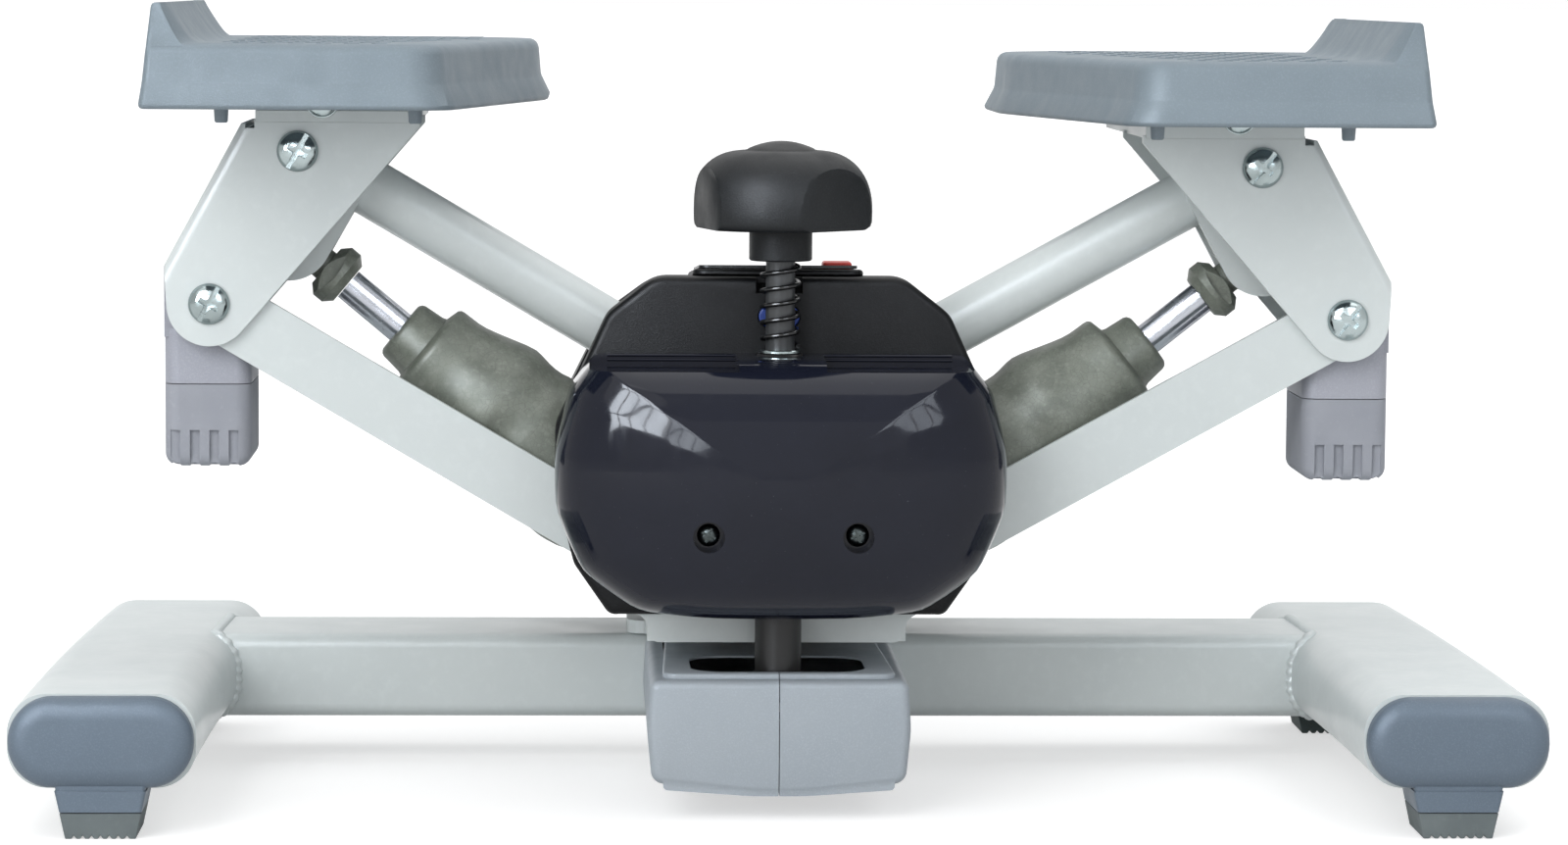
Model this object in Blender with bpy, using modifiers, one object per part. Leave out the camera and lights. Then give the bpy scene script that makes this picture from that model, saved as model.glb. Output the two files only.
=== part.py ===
"""Twist stepper: two alternating pedals on a unit that swings about an upright spindle.

Metres, +Z up. The origin is on the floor under the middle of the base. The lock knob and
the smoky cover face -Y, the cross tube runs along X, and the spindle stands behind the
middle, on the cross tube.
"""

import math

import bmesh
import bpy
from mathutils import Matrix, Vector

# General
GAP = 0.0003
RUNNING_GAP = 0.0005
SHEET = 0.003
ARC_STEP = math.radians(30)
SMALL_ARC_STEP = math.radians(45)
SMALL_ARC = 0.0041
ROUND_SIDES = 16
PIN_SIDES = 12
HOLE_SIDES = 12

# Base
BASE_DEPTH = 0.256
LEG_WIDTH = 0.0615
LEG_HEIGHT = 0.031
LEG_CORNER = 0.013
LEG_WALL = 0.002
LEG_MIDDLE_Z = 0.0315
LEG_FRONT_X = 0.2228
LEG_REAR_X = 0.2158
CAP_THICKNESS = 0.008
CAP_INSET = 0.0006
CAP_PLUG = 0.010
CROSS_TUBE_Y = 0.055
CROSS_TUBE_DEPTH = 0.052
CROSS_TUBE_HEIGHT = 0.030
CROSS_TUBE_WALL = 0.002
CROSS_TUBE_CORNER = 0.005
FOOT_TOP_WIDTH = 0.030
FOOT_BOTTOM_WIDTH = 0.023
FOOT_DEPTH = 0.028
FOOT_SET_BACK = 0.002
PAD_HEIGHT = 0.0088
PAD_GROOVES = 8
PAD_GROOVE = 0.0008

# Nose, with the wide slot that the lock sleeve swings in
ARM_WIDTH = 0.070
ARM_BOTTOM_Z = 0.018
ARM_TOP_Z = 0.0385
ARM_WALL = 0.0025
ARM_FRONT_Y = -0.086
NOSE_HALF_WIDTH = 0.0443
NOSE_FRONT_Y = -0.0905
NOSE_BOTTOM_Z = 0.0105
NOSE_BOTTOM_CROWN = 0.0025
NOSE_BELLY_Z = 0.0300
NOSE_TOP_Z = 0.0472
NOSE_PANEL_Z = 0.0490
NOSE_WALL = 0.0026
SLOT_HALF_LENGTH = 0.0296
SLOT_HALF_WIDTH = 0.0195
SLOT_CORNER = 0.011
SLOT_Y = -0.0625
STOP_MARGIN = 0.001

# Spindle and turntable
SPINDLE_RADIUS = 0.008
SPINDLE_TOP_Z = 0.083
TURNTABLE_LENGTH = 0.100
TURNTABLE_SET_IN = 0.00025
TURNTABLE_THICKNESS = 0.0047
BUSH_FLANGE_RADIUS = 0.022
BUSH_FLANGE = 0.0038
BUSH_RADIUS = 0.012
BUSH_TOP_Z = 0.072
NUT_RADIUS = 0.0125
NUT_HEIGHT = 0.008

# Twist frame
FRAME_BOTTOM_Z = 0.056
FRAME_PLATE = 0.004
FRAME_HALF_WIDTH = 0.044
FRAME_FRONT_Y = -0.0600
FRAME_BACK_Y = 0.098
FRAME_CORNER = 0.0035
SHOULDER_HALF_WIDTH = 0.058
SHOULDER_TOP_Z = 0.098
FRAME_TOP_HALF_WIDTH = 0.030
FRAME_TOP_Z = 0.149

# Pivots, as distance out from the middle and height
LOWER_PIVOT = Vector((0.046, 0.084))
PIVOT_OFFSET = Vector((-0.0300, 0.0518))
ARM_LENGTH = 0.170
ARM_REST_ANGLE = {"left": math.radians(30.4), "right": math.radians(28.9)}
DAMPER_PIVOT = Vector((0.028, 0.0756))
PIVOT_PIN_RADIUS = 0.005
BOLT_RADIUS = 0.004
BOLT_HEAD_RADIUS = 0.0070
BOLT_HEAD_HEIGHT = 0.0036
BOLT_NUT_RADIUS = 0.0068
BOLT_NUT_HEIGHT = 0.0055
BOLT_TIP = 0.0020
BOLT_SHOULDER_RADIUS = 0.0068

# Arms
BRACKET_FRONT_Y = -0.052
BRACKET_DEPTH = 0.063
BRACKET_GATE = 0.030
BRACKET_GATE_RISE = 0.004
BAR_HEIGHT = 0.0218
BAR_TAIL = 0.016
TAIL_RADIUS = 0.005
TAIL_PIN_RADIUS = 0.0025
TUBE_RADIUS = 0.010
TUBE_END_GAP = 0.006
TUBE_WALL = 0.0018
INNER_SLEEVE_RADIUS = 0.0105
OUTER_SLEEVE_RADIUS = 0.0085
SLEEVE_HALF_LENGTH = 0.0235
LUG_DROP = Vector((0.0038, -0.0305))
LUG_RADIUS = 0.0137
LUG_HALF_GAP = 0.008
LUG_THICKNESS = 0.0035
EYE_PLAY = 0.0041

# Rocker that links the two sides
ROCKER_PIVOT_Z = 0.0773
ROCKER_FRONT_Y = -0.0545
ROCKER_THICKNESS = 0.004
ROCKER_REACH = 0.0325
ROCKER_HUB_RADIUS = 0.0085
ROCKER_END_RADIUS = 0.008
ROCKER_SLOT_OVERRUN = 0.015
ROCKER_SLOT = 0.0044
ROCKER_SLOT_START = 0.0255
ROCKER_DROP = 0.0016

# Damper
DAMPER_RADIUS = 0.0245
DAMPER_ROD_RADIUS = 0.0057
DAMPER_EYE_RADIUS = 0.0085
DAMPER_EYE_HALF = 0.006
ROD_EYE_RADIUS = 0.0108
ROD_EYE_HALF = 0.007
DAMPER_COLLAR_RADIUS = 0.0100
DAMPER_COLLAR = 0.0065
COLLAR_TO_EYE = 0.0180
ROD_DEPTH = 0.075
BORE_END = 0.028

# Pedal bracket and pedal, measured from the lower outer pivot
FLANGE_RADIUS = 0.0148
FLANGE_TOP = 0.0625
FLANGE_TOP_OUTER = -0.0116
FLANGE_TOP_INNER = -0.0710
BEND_RADIUS = 0.004
TOP_PLATE_BACK_Y = 0.075
PEDAL_BOTTOM = 0.0675
PEDAL_TOP = 0.0888
PEDAL_OUTER = 0.0172
PEDAL_FRONT_INNER = -0.0790
PEDAL_BACK_INNER = -0.1140
PEDAL_HALF_DEPTH = 0.123
PEDAL_FLARE = 0.0046
PEDAL_WALL = 0.0032
FIN_TOP = 0.1035
FIN_THICKNESS = 0.0065
FIN_SLOPE_START_Y = 0.075
BUMPER_INNER = -0.0135
BUMPER_OUTER = 0.0160
BUMPER_TOP = -0.0090
BUMPER_SEAM = -0.0278
BUMPER_BOTTOM = -0.0563
BUMPER_FRONT_Y = -0.0430
BUMPER_BACK_Y = 0.0010
BUMPER_GROOVES = 4
BUMPER_GROOVE_WIDTH = 0.0033
BUMPER_GROOVE_HEIGHT = 0.0130
BUMPER_GROOVE_DEPTH = 0.0015

# Housing and console
HOUSING_FRONT_Y = -0.0635
HOUSING_WALL = 0.0021
HOUSING_RIM_Y = -0.0495
HOUSING_REAR_START_Y = 0.0085
HOUSING_REAR_SHOULDER_Y = 0.066
HOUSING_REAR_END_Y = 0.101
HOUSING_REAR_TAPER = 0.80
HOUSING_BOTTOM_Z = 0.0657
HOUSING_GATE_SPREAD = 0.010
HOUSING_GATE_RISE = 0.0073
HOUSING_REAR_BOTTOM_Z = 0.0606
HOUSING_OUTLINE = (
    (0.0420, 0.1805, 0.012),
    (0.0580, 0.1680, 0.010),
    (0.0755, 0.1300, 0.012),
    (0.0755, 0.1080, 0.012),
    (0.0690, 0.0830, 0.008),
)
HOUSING_BOTTOM_HALF_WIDTH = 0.057
CONSOLE_LEAN = math.radians(4)
CONSOLE_HALF_WIDTH = 0.029
CONSOLE_BOTTOM_Z = 0.172
CONSOLE_PLATE_Z = 0.0028
CONSOLE_FRONT_Y = -0.056
CONSOLE_BACK_Y = 0.030
BEZEL_THICKNESS = 0.0012
BEZEL_MARGIN = 0.002
WINDOW_LEFT_X = -0.0235
WINDOW_RIGHT_X = 0.0085
WINDOW_BACK_Y = 0.004
BUTTON_X = 0.0205
BUTTON_Y = -0.040
BUTTON_HALF = 0.0050
BUTTON_HEIGHT = 0.0060
BUTTON_PROUD = 0.0018
PLUG_Z = 0.1673
PLUG_HALF_WIDTH = 0.0067
PLUG_HALF_HEIGHT = 0.0037

# Smoky cover
COVER_OUTLINE = (
    (0.0620, 0.1550, 0.0035),
    (0.0705, 0.1445, 0.012),
    (0.0755, 0.1250, 0.016),
    (0.0755, 0.1050, 0.020),
    (0.0670, 0.0840, 0.016),
    (0.0490, 0.0700, 0.018),
    (0.0230, 0.0680, 0.060),
)
COVER_CENTRE_Z = 0.112
COVER_BACK_Y = -0.0638
COVER_STEPS = (
    (0.0000, 1.000),
    (0.0230, 1.000),
    (0.0340, 0.972),
    (0.0420, 0.915),
    (0.0480, 0.820),
    (0.0515, 0.690),
    (0.0533, 0.500),
    (0.0540, 0.280),
)
COVER_WALL = 0.0024
SCREW_X = 0.0247
SCREW_Z = 0.0970
SCREW_RECESS_RADIUS = 0.0052
SCREW_RECESS_Y = -0.1080
PILLAR_RADIUS = 0.0072

# Lock sleeve, rod, spring and knob
LOCK_Y = -0.072
SLEEVE_RADIUS = 0.00785
SLEEVE_BOTTOM_Z = 0.033
SLEEVE_TOP_Z = 0.1555
WASHER_RADIUS = 0.0072
WASHER_THICKNESS = 0.0013
ROD_RADIUS = 0.0050
ROD_BOTTOM_Z = 0.0320
SPRING_RADIUS = 0.0066
SPRING_WIRE = 0.00065
SPRING_TURNS = 5.25
KNOB_BOTTOM_Z = 0.1868
COLLAR_RADIUS = 0.0106
COLLAR_HEIGHT = 0.0107
KNOB_RADIUS = 0.0307
KNOB_HEIGHT = 0.0264
KNOB_FLATS = 3
KNOB_FLAT_DISTANCE = 0.0258
KNOB_FIRST_FLAT = math.radians(-46)
LOCK_TRAVEL = 0.011
KNOB_CAP_RADIUS = 0.0124
KNOB_CAP_RISE = 0.0030
KNOB_CAP_DEPTH = 0.0020
TAB_HALF_WIDTH = 0.012
TAB_HEIGHTS = (0.0760, 0.1420)

SIDES = {"left": -1, "right": 1}
TWIST_AXIS = Vector((0, CROSS_TUBE_Y, 0))
MIDDLE_Y = BRACKET_FRONT_Y + BRACKET_DEPTH / 2
INNER_FRONT_Y = BRACKET_FRONT_Y + SHEET
INNER_BACK_Y = BRACKET_FRONT_Y + BRACKET_DEPTH - SHEET
FRONT_BAR_Y = INNER_FRONT_Y + RUNNING_GAP + SHEET / 2
BACK_BAR_Y = INNER_BACK_Y - RUNNING_GAP - SHEET / 2
FRAME_REAR_Y = INNER_BACK_Y + 0.0045
CROSS_TUBE_TOP_Z = LEG_MIDDLE_Z + CROSS_TUBE_HEIGHT / 2
TURNTABLE_TOP_Z = CROSS_TUBE_TOP_Z + GAP + TURNTABLE_THICKNESS
FRAME_TOP_FACE_Z = FRAME_BOTTOM_Z + FRAME_PLATE
HOUSING_TOP_Z = HOUSING_OUTLINE[0][1]
CONSOLE_TOP_Z = HOUSING_TOP_Z + GAP + CONSOLE_PLATE_Z

# Placements: a flat outline stands up facing -Y, or stands up facing +X
FACING_FRONT = Matrix.Rotation(math.pi / 2, 4, "X")
FACING_SIDE = Matrix(((0, 0, 1, 0), (1, 0, 0, 0), (0, 1, 0, 0), (0, 0, 0, 1)))


def clear_scene():
    for leftover in list(bpy.data.objects):
        bpy.data.objects.remove(leftover)


def new_collection(name):
    collection = bpy.data.collections.new(name)
    bpy.context.scene.collection.children.link(collection)
    return collection


clear_scene()
PARTS = new_collection("twist_stepper")
CUTTERS = new_collection("cutters")
PIVOTS = new_collection("pivots")


def new_material(name, colour, roughness, metallic=0.0, alpha=1.0):
    material = bpy.data.materials.new(name)
    material.use_nodes = True
    shader = material.node_tree.nodes["Principled BSDF"]
    shader.inputs["Base Color"].default_value = (*colour, 1.0)
    shader.inputs["Roughness"].default_value = roughness
    shader.inputs["Metallic"].default_value = metallic
    shader.inputs["Alpha"].default_value = alpha
    return material


WHITE_PAINT = new_material("white_paint", (0.61, 0.66, 0.67), 0.35)
CAP_PLASTIC = new_material("cap_plastic", (0.14, 0.18, 0.23), 0.55)
PAD_RUBBER = new_material("pad_rubber", (0.15, 0.17, 0.17), 0.80)
REAR_RUBBER = new_material("rear_rubber", (0.07, 0.09, 0.09), 0.80)
NOSE_PLASTIC = new_material("nose_plastic", (0.38, 0.42, 0.47), 0.50)
PEDAL_PLASTIC = new_material("pedal_plastic", (0.22, 0.27, 0.31), 0.50)
BUMPER_PLASTIC = new_material("bumper_plastic", (0.35, 0.37, 0.42), 0.60)
BUMPER_RUBBER = new_material("bumper_rubber", (0.33, 0.35, 0.39), 0.70)
DAMPER_PAINT = new_material("damper_paint", (0.20, 0.21, 0.17), 0.55)
CHROME = new_material("chrome", (0.75, 0.76, 0.80), 0.12, 1.0)
ZINC = new_material("zinc", (0.62, 0.66, 0.66), 0.32, 1.0)
PLAIN_STEEL = new_material("plain_steel", (0.45, 0.45, 0.46), 0.40, 1.0)
BRONZE = new_material("bronze", (0.55, 0.38, 0.20), 0.40, 1.0)
BLACK_ROD = new_material("black_rod", (0.03, 0.03, 0.03), 0.25)
SLEEVE_PAINT = new_material("sleeve_paint", (0.04, 0.04, 0.04), 0.40)
SPRING_STEEL = new_material("spring_steel", (0.06, 0.06, 0.06), 0.28, 0.8)
KNOB_PLASTIC = new_material("knob_plastic", (0.026, 0.028, 0.029), 0.55)
KNOB_CAP_PLASTIC = new_material("knob_cap_plastic", (0.030, 0.032, 0.033), 0.50)
HOUSING_PLASTIC = new_material("housing_plastic", (0.017, 0.018, 0.020), 0.50)
BEZEL_PLASTIC = new_material("bezel_plastic", (0.040, 0.042, 0.046), 0.35)
WINDOW_PLASTIC = new_material("window_plastic", (0.05, 0.07, 0.06), 0.10)
SMOKY_PLASTIC = new_material("smoky_plastic", (0.032, 0.034, 0.052), 0.08)
RED_PLASTIC = new_material("red_plastic", (0.58, 0.03, 0.02), 0.40)
BLUE_PLASTIC = new_material("blue_plastic", (0.02, 0.06, 0.30), 0.40)


def link_mesh(name, mesh, material, placement=None):
    """A new object in the parts collection, with its one material."""
    piece = bpy.data.objects.new(name, mesh)
    mesh.materials.clear()
    mesh.materials.append(material)
    PARTS.objects.link(piece)
    if placement is not None:
        piece.matrix_world = placement
    return piece


def weld(mesh):
    work = bmesh.new()
    work.from_mesh(mesh)
    bmesh.ops.remove_doubles(work, verts=work.verts, dist=0.00001)
    bmesh.ops.recalc_face_normals(work, faces=work.faces)
    work.to_mesh(mesh)
    work.free()


def smooth(piece, angle=40):
    piece.data.shade_smooth()
    piece.data.set_sharp_from_angle(angle=math.radians(angle))
    return piece


def mesh_from_curve(name, curve, material, placement=None):
    """The curve's solid as a mesh object, its caps welded."""
    guide = bpy.data.objects.new(name + "_curve", curve)
    PARTS.objects.link(guide)
    bpy.context.view_layer.update()
    evaluated = guide.evaluated_get(bpy.context.evaluated_depsgraph_get())
    mesh = bpy.data.meshes.new_from_object(evaluated)
    mesh.name = name
    bpy.data.objects.remove(guide)
    weld(mesh)
    return link_mesh(name, mesh, material, placement)


def fill_spline(curve, points, cyclic):
    spline = curve.splines.new("POLY")
    spline.points.add(len(points) - 1)
    for spline_point, place in zip(spline.points, points):
        depth = place[2] if len(place) > 2 else 0
        spline_point.co = (place[0], place[1], depth, 1)
    spline.use_cyclic_u = cyclic


def plate(name, outlines, thickness, material, placement=None):
    """A flat outline, with any holes, extruded evenly to both sides."""
    curve = bpy.data.curves.new(name, "CURVE")
    curve.dimensions = "2D"
    curve.fill_mode = "BOTH"
    curve.extrude = thickness / 2
    for outline in outlines:
        fill_spline(curve, outline, True)
    return mesh_from_curve(name, curve, material, placement)


def upright_plate(name, outlines, low_y, high_y, material):
    """An outline in X and Z that fills the space between two planes of Y."""
    placement = Matrix.Translation((0, (low_y + high_y) / 2, 0)) @ FACING_FRONT
    return plate(name, outlines, high_y - low_y, material, placement)


def side_plate(name, outlines, low_x, high_x, material):
    """An outline in Y and Z that fills the space between two planes of X."""
    placement = Matrix.Translation(((low_x + high_x) / 2, 0, 0)) @ FACING_SIDE
    return plate(name, outlines, high_x - low_x, material, placement)


def level_plate(name, outlines, low_z, high_z, material):
    """An outline in X and Y that fills the space between two heights."""
    placement = Matrix.Translation((0, 0, (low_z + high_z) / 2))
    return plate(name, outlines, high_z - low_z, material, placement)


def block(name, low, high, material):
    """A box between two corners."""
    low = Vector(low)
    high = Vector(high)
    work = bmesh.new()
    bmesh.ops.create_cube(work, size=1)
    bmesh.ops.scale(work, vec=high - low, verts=work.verts)
    mesh = bpy.data.meshes.new(name)
    work.to_mesh(mesh)
    work.free()
    return link_mesh(name, mesh, material, Matrix.Translation((low + high) / 2))


def towards(start, direction):
    """A placement at start, with its Z axis along direction."""
    turn = Vector(direction).to_track_quat("Z", "Y").to_matrix().to_4x4()
    return Matrix.Translation(start) @ turn


def rod(name, start, end, radius, material, sides=ROUND_SIDES):
    """A plain round bar from start to end."""
    start = Vector(start)
    end = Vector(end)
    work = bmesh.new()
    bmesh.ops.create_cone(
        work, cap_ends=True, segments=sides, radius1=radius, radius2=radius, depth=(end - start).length
    )
    mesh = bpy.data.meshes.new(name)
    work.to_mesh(mesh)
    work.free()
    return smooth(link_mesh(name, mesh, material, towards((start + end) / 2, end - start)))


def turned(name, profile, material, placement, closed=False, sides=24):
    """A profile of (radius, height) points, top to bottom, turned about its Z axis."""
    mesh = bpy.data.meshes.new(name)
    edges = [(index, index + 1) for index in range(len(profile) - 1)]
    if closed:
        edges.append((len(profile) - 1, 0))
    mesh.from_pydata([(radius, 0, height) for radius, height in profile], edges, [])
    piece = link_mesh(name, mesh, material, placement)
    screw = piece.modifiers.new("turn", "SCREW")
    screw.angle = math.tau
    screw.steps = sides
    screw.render_steps = sides
    screw.use_merge_vertices = True
    screw.merge_threshold = 0.00001
    screw.use_smooth_shade = True
    return piece


def collar_profile(outer, inner, high, low):
    return [(outer, high), (outer, low), (inner, low), (inner, high)]


def hole(centre, radius, sides=HOLE_SIDES):
    """A round hole's outline, its sides flush with the true circle."""
    reach = radius / math.cos(math.pi / sides)
    points = []
    for index in range(sides):
        angle = math.tau * index / sides
        points.append((centre[0] + reach * math.cos(angle), centre[1] + reach * math.sin(angle)))
    return points


def rounded(corners):
    """An outline whose corners (x, y, radius) are arcs."""
    points = []
    for index, (x, y, radius) in enumerate(corners):
        corner = Vector((x, y))
        if radius <= 0:
            points.append((x, y))
            continue
        before = (Vector(corners[index - 1][:2]) - corner).normalized()
        after = (Vector(corners[(index + 1) % len(corners)][:2]) - corner).normalized()
        half = before.angle(after) / 2
        centre = corner + (before + after).normalized() * radius / math.sin(half)
        first = corner + before * radius / math.tan(half) - centre
        last = corner + after * radius / math.tan(half) - centre
        start = math.atan2(first.y, first.x)
        turn = math.remainder(math.atan2(last.y, last.x) - start, math.tau)
        widest = SMALL_ARC_STEP if radius < SMALL_ARC else ARC_STEP
        steps = max(1, math.ceil(abs(turn) / widest - 0.2))
        for step in range(steps + 1):
            angle = start + turn * step / steps
            points.append((centre.x + radius * math.cos(angle), centre.y + radius * math.sin(angle)))
    return points


def box_outline(low_x, high_x, low_y, high_y, radius=0.0):
    corners = ((low_x, low_y), (high_x, low_y), (high_x, high_y), (low_x, high_y))
    return rounded([(x, y, radius) for x, y in corners])


def mirrored_outline(half):
    """Both halves of an outline whose right half runs from the top down."""
    left = [(-x, y, radius) for x, y, radius in reversed(half)]
    return rounded(list(half) + left)


def hull(circles, sides=ROUND_SIDES):
    """The outline of a band stretched round circles (x, y, radius)."""
    points = []
    for x, y, radius in circles:
        for index in range(sides):
            angle = math.tau * index / sides
            points.append((x + radius * math.cos(angle), y + radius * math.sin(angle)))
    points.sort()

    def half_hull(ordered):
        chain = []
        for point in ordered:
            while len(chain) > 1:
                ax, ay = chain[-1][0] - chain[-2][0], chain[-1][1] - chain[-2][1]
                bx, by = point[0] - chain[-2][0], point[1] - chain[-2][1]
                if ax * by - ay * bx > 1e-12:
                    break
                chain.pop()
            chain.append(point)
        return chain[:-1]

    return half_hull(points) + half_hull(points[::-1])


def shrunk(outline, distance):
    """A closed outline, run clockwise or not, moved inwards by a distance."""
    area = 0
    for index, (x, y) in enumerate(outline):
        area += outline[index - 1][0] * y - x * outline[index - 1][1]
    turn = 1 if area > 0 else -1
    points = []
    for index, (x, y) in enumerate(outline):
        here = Vector((x, y))
        before = (here - Vector(outline[index - 1])).normalized()
        after = (Vector(outline[(index + 1) % len(outline)]) - here).normalized()
        inward = (Vector((-before.y, before.x)) + Vector((-after.y, after.x))).normalized() * turn
        stretch = max(0.5, inward.dot(Vector((-before.y, before.x)) * turn))
        points.append(tuple(here + inward * distance / stretch))
    return points


def scaled(outline, centre, factor):
    return [(centre[0] + (x - centre[0]) * factor, centre[1] + (y - centre[1]) * factor) for x, y in outline]


def loft(name, rings, material):
    """A closed skin through rings of like count, with flat ends."""
    work = bmesh.new()
    rows = [[work.verts.new(place) for place in ring] for ring in rings]
    for lower, upper in zip(rows, rows[1:]):
        for index in range(len(lower)):
            after = (index + 1) % len(lower)
            work.faces.new((lower[index], lower[after], upper[after], upper[index]))
    work.faces.new(rows[0])
    work.faces.new(rows[-1])
    bmesh.ops.recalc_face_normals(work, faces=work.faces)
    mesh = bpy.data.meshes.new(name)
    work.to_mesh(mesh)
    work.free()
    return link_mesh(name, mesh, material)


def soften(piece, width, chosen, segments=3):
    """Round the sharp edges whose two ends both pass the test, in the piece's own frame."""
    work = bmesh.new()
    work.from_mesh(piece.data)
    sharp = [edge for edge in work.edges if edge.calc_face_angle(0) > 0.7]
    edges = [edge for edge in sharp if all(chosen(vertex.co) for vertex in edge.verts)]
    bmesh.ops.bevel(work, geom=edges, offset=width, segments=segments, profile=0.5, affect="EDGES")
    work.to_mesh(piece.data)
    work.free()
    return piece


def bevel(piece, width, segments=2, angle=40):
    modifier = piece.modifiers.new("bevel", "BEVEL")
    modifier.width = width
    modifier.segments = segments
    modifier.limit_method = "ANGLE"
    modifier.angle_limit = math.radians(angle)
    return piece


def use_tool(piece, tool, operation):
    modifier = piece.modifiers.new(tool.name, "BOOLEAN")
    modifier.operation = operation
    modifier.object = tool
    if tool.name in PARTS.objects:
        PARTS.objects.unlink(tool)
        CUTTERS.objects.link(tool)
        tool.hide_render = True
        tool.display_type = "WIRE"
    return piece


def cut(piece, *tools):
    for tool in tools:
        use_tool(piece, tool, "DIFFERENCE")
    return piece


def join(piece, *tools):
    for tool in tools:
        use_tool(piece, tool, "UNION")
    return piece


def new_pivot(name, place, parent=None):
    """An empty on a joint's axis, which the joint's pieces hang from."""
    pivot = bpy.data.objects.new(name, None)
    pivot.empty_display_size = 0.02
    PIVOTS.objects.link(pivot)
    pivot.location = place
    pivot["place"] = tuple(place)
    if parent is not None:
        hang(parent, pivot)
    return pivot


def hang(pivot, *pieces):
    """Parent pieces to a pivot and leave them where they are."""
    for piece in pieces:
        piece.parent = pivot
        piece.matrix_parent_inverse = Matrix.Translation(-Vector(pivot["place"]))


def out(side, distance, height, y=0.0):
    """A point at a distance out from the middle, on one side."""
    return Vector((SIDES[side] * distance, y, height))


def outer_pivot(side):
    angle = ARM_REST_ANGLE[side]
    return LOWER_PIVOT + ARM_LENGTH * Vector((math.cos(angle), math.sin(angle)))


def rod_eye(side):
    """Centre of the damper's upper eye: it hangs below the upper bolt, on the upper arm."""
    swing = ARM_REST_ANGLE[side] - math.radians(29.7)
    drop = LUG_DROP.copy()
    drop.rotate(Matrix.Rotation(swing, 2))
    return outer_pivot(side) + PIVOT_OFFSET + drop


def on_side(side, points):
    return [(SIDES[side] * point[0], *point[1:]) for point in points]


# Base

def leg_section(grow):
    return box_outline(
        -LEG_WIDTH / 2 - grow,
        LEG_WIDTH / 2 + grow,
        -LEG_HEIGHT / 2 - grow,
        LEG_HEIGHT / 2 + grow,
        LEG_CORNER + grow,
    )


def leg_bar(name, side, grow, overrun, material):
    """The bowed oval bar of a leg, from behind the front cap to before the rear cap."""
    start_y = -BASE_DEPTH / 2 + CAP_THICKNESS - overrun
    end_y = BASE_DEPTH / 2 - CAP_THICKNESS + overrun
    rings = []
    for step in range(6):
        share = step / 5
        y = start_y + (end_y - start_y) * share
        bow = LEG_REAR_X + (LEG_FRONT_X - LEG_REAR_X) * (1 - share) ** 2
        ring = [(SIDES[side] * bow + x, y, LEG_MIDDLE_Z + z) for x, z in leg_section(grow)]
        rings.append(ring)
    return smooth(loft(name, rings, material))


def make_leg(side):
    leg = leg_bar(f"{side}_leg", side, 0, 0, WHITE_PAINT)
    return cut(leg, leg_bar(f"{side}_leg_hollow", side, -LEG_WALL, 0.010, WHITE_PAINT))


def make_cross_tube():
    """A rectangular tube, coped to the two legs' rounded sides."""
    section = box_outline(
        CROSS_TUBE_Y - CROSS_TUBE_DEPTH / 2,
        CROSS_TUBE_Y + CROSS_TUBE_DEPTH / 2,
        LEG_MIDDLE_Z - CROSS_TUBE_HEIGHT / 2,
        LEG_MIDDLE_Z + CROSS_TUBE_HEIGHT / 2,
        CROSS_TUBE_CORNER,
    )
    end = LEG_REAR_X
    tube = side_plate("cross_tube", [section, shrunk(section, CROSS_TUBE_WALL)], -end, end, WHITE_PAINT)
    for side in SIDES:
        cut(tube, leg_bar(f"{side}_cope", side, GAP, 0.010, WHITE_PAINT))
    return smooth(tube)


def foot_ring(x, y, width, depth, z):
    half = width / 2
    deep = depth / 2
    return [(x - half, y - deep, z), (x + half, y - deep, z), (x + half, y + deep, z), (x - half, y + deep, z)]


def foot_width(z):
    """The foot narrows evenly from the leg's underside to the floor."""
    share = z / (LEG_MIDDLE_Z - LEG_HEIGHT / 2)
    return FOOT_BOTTOM_WIDTH + (FOOT_TOP_WIDTH - FOOT_BOTTOM_WIDTH) * share


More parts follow.
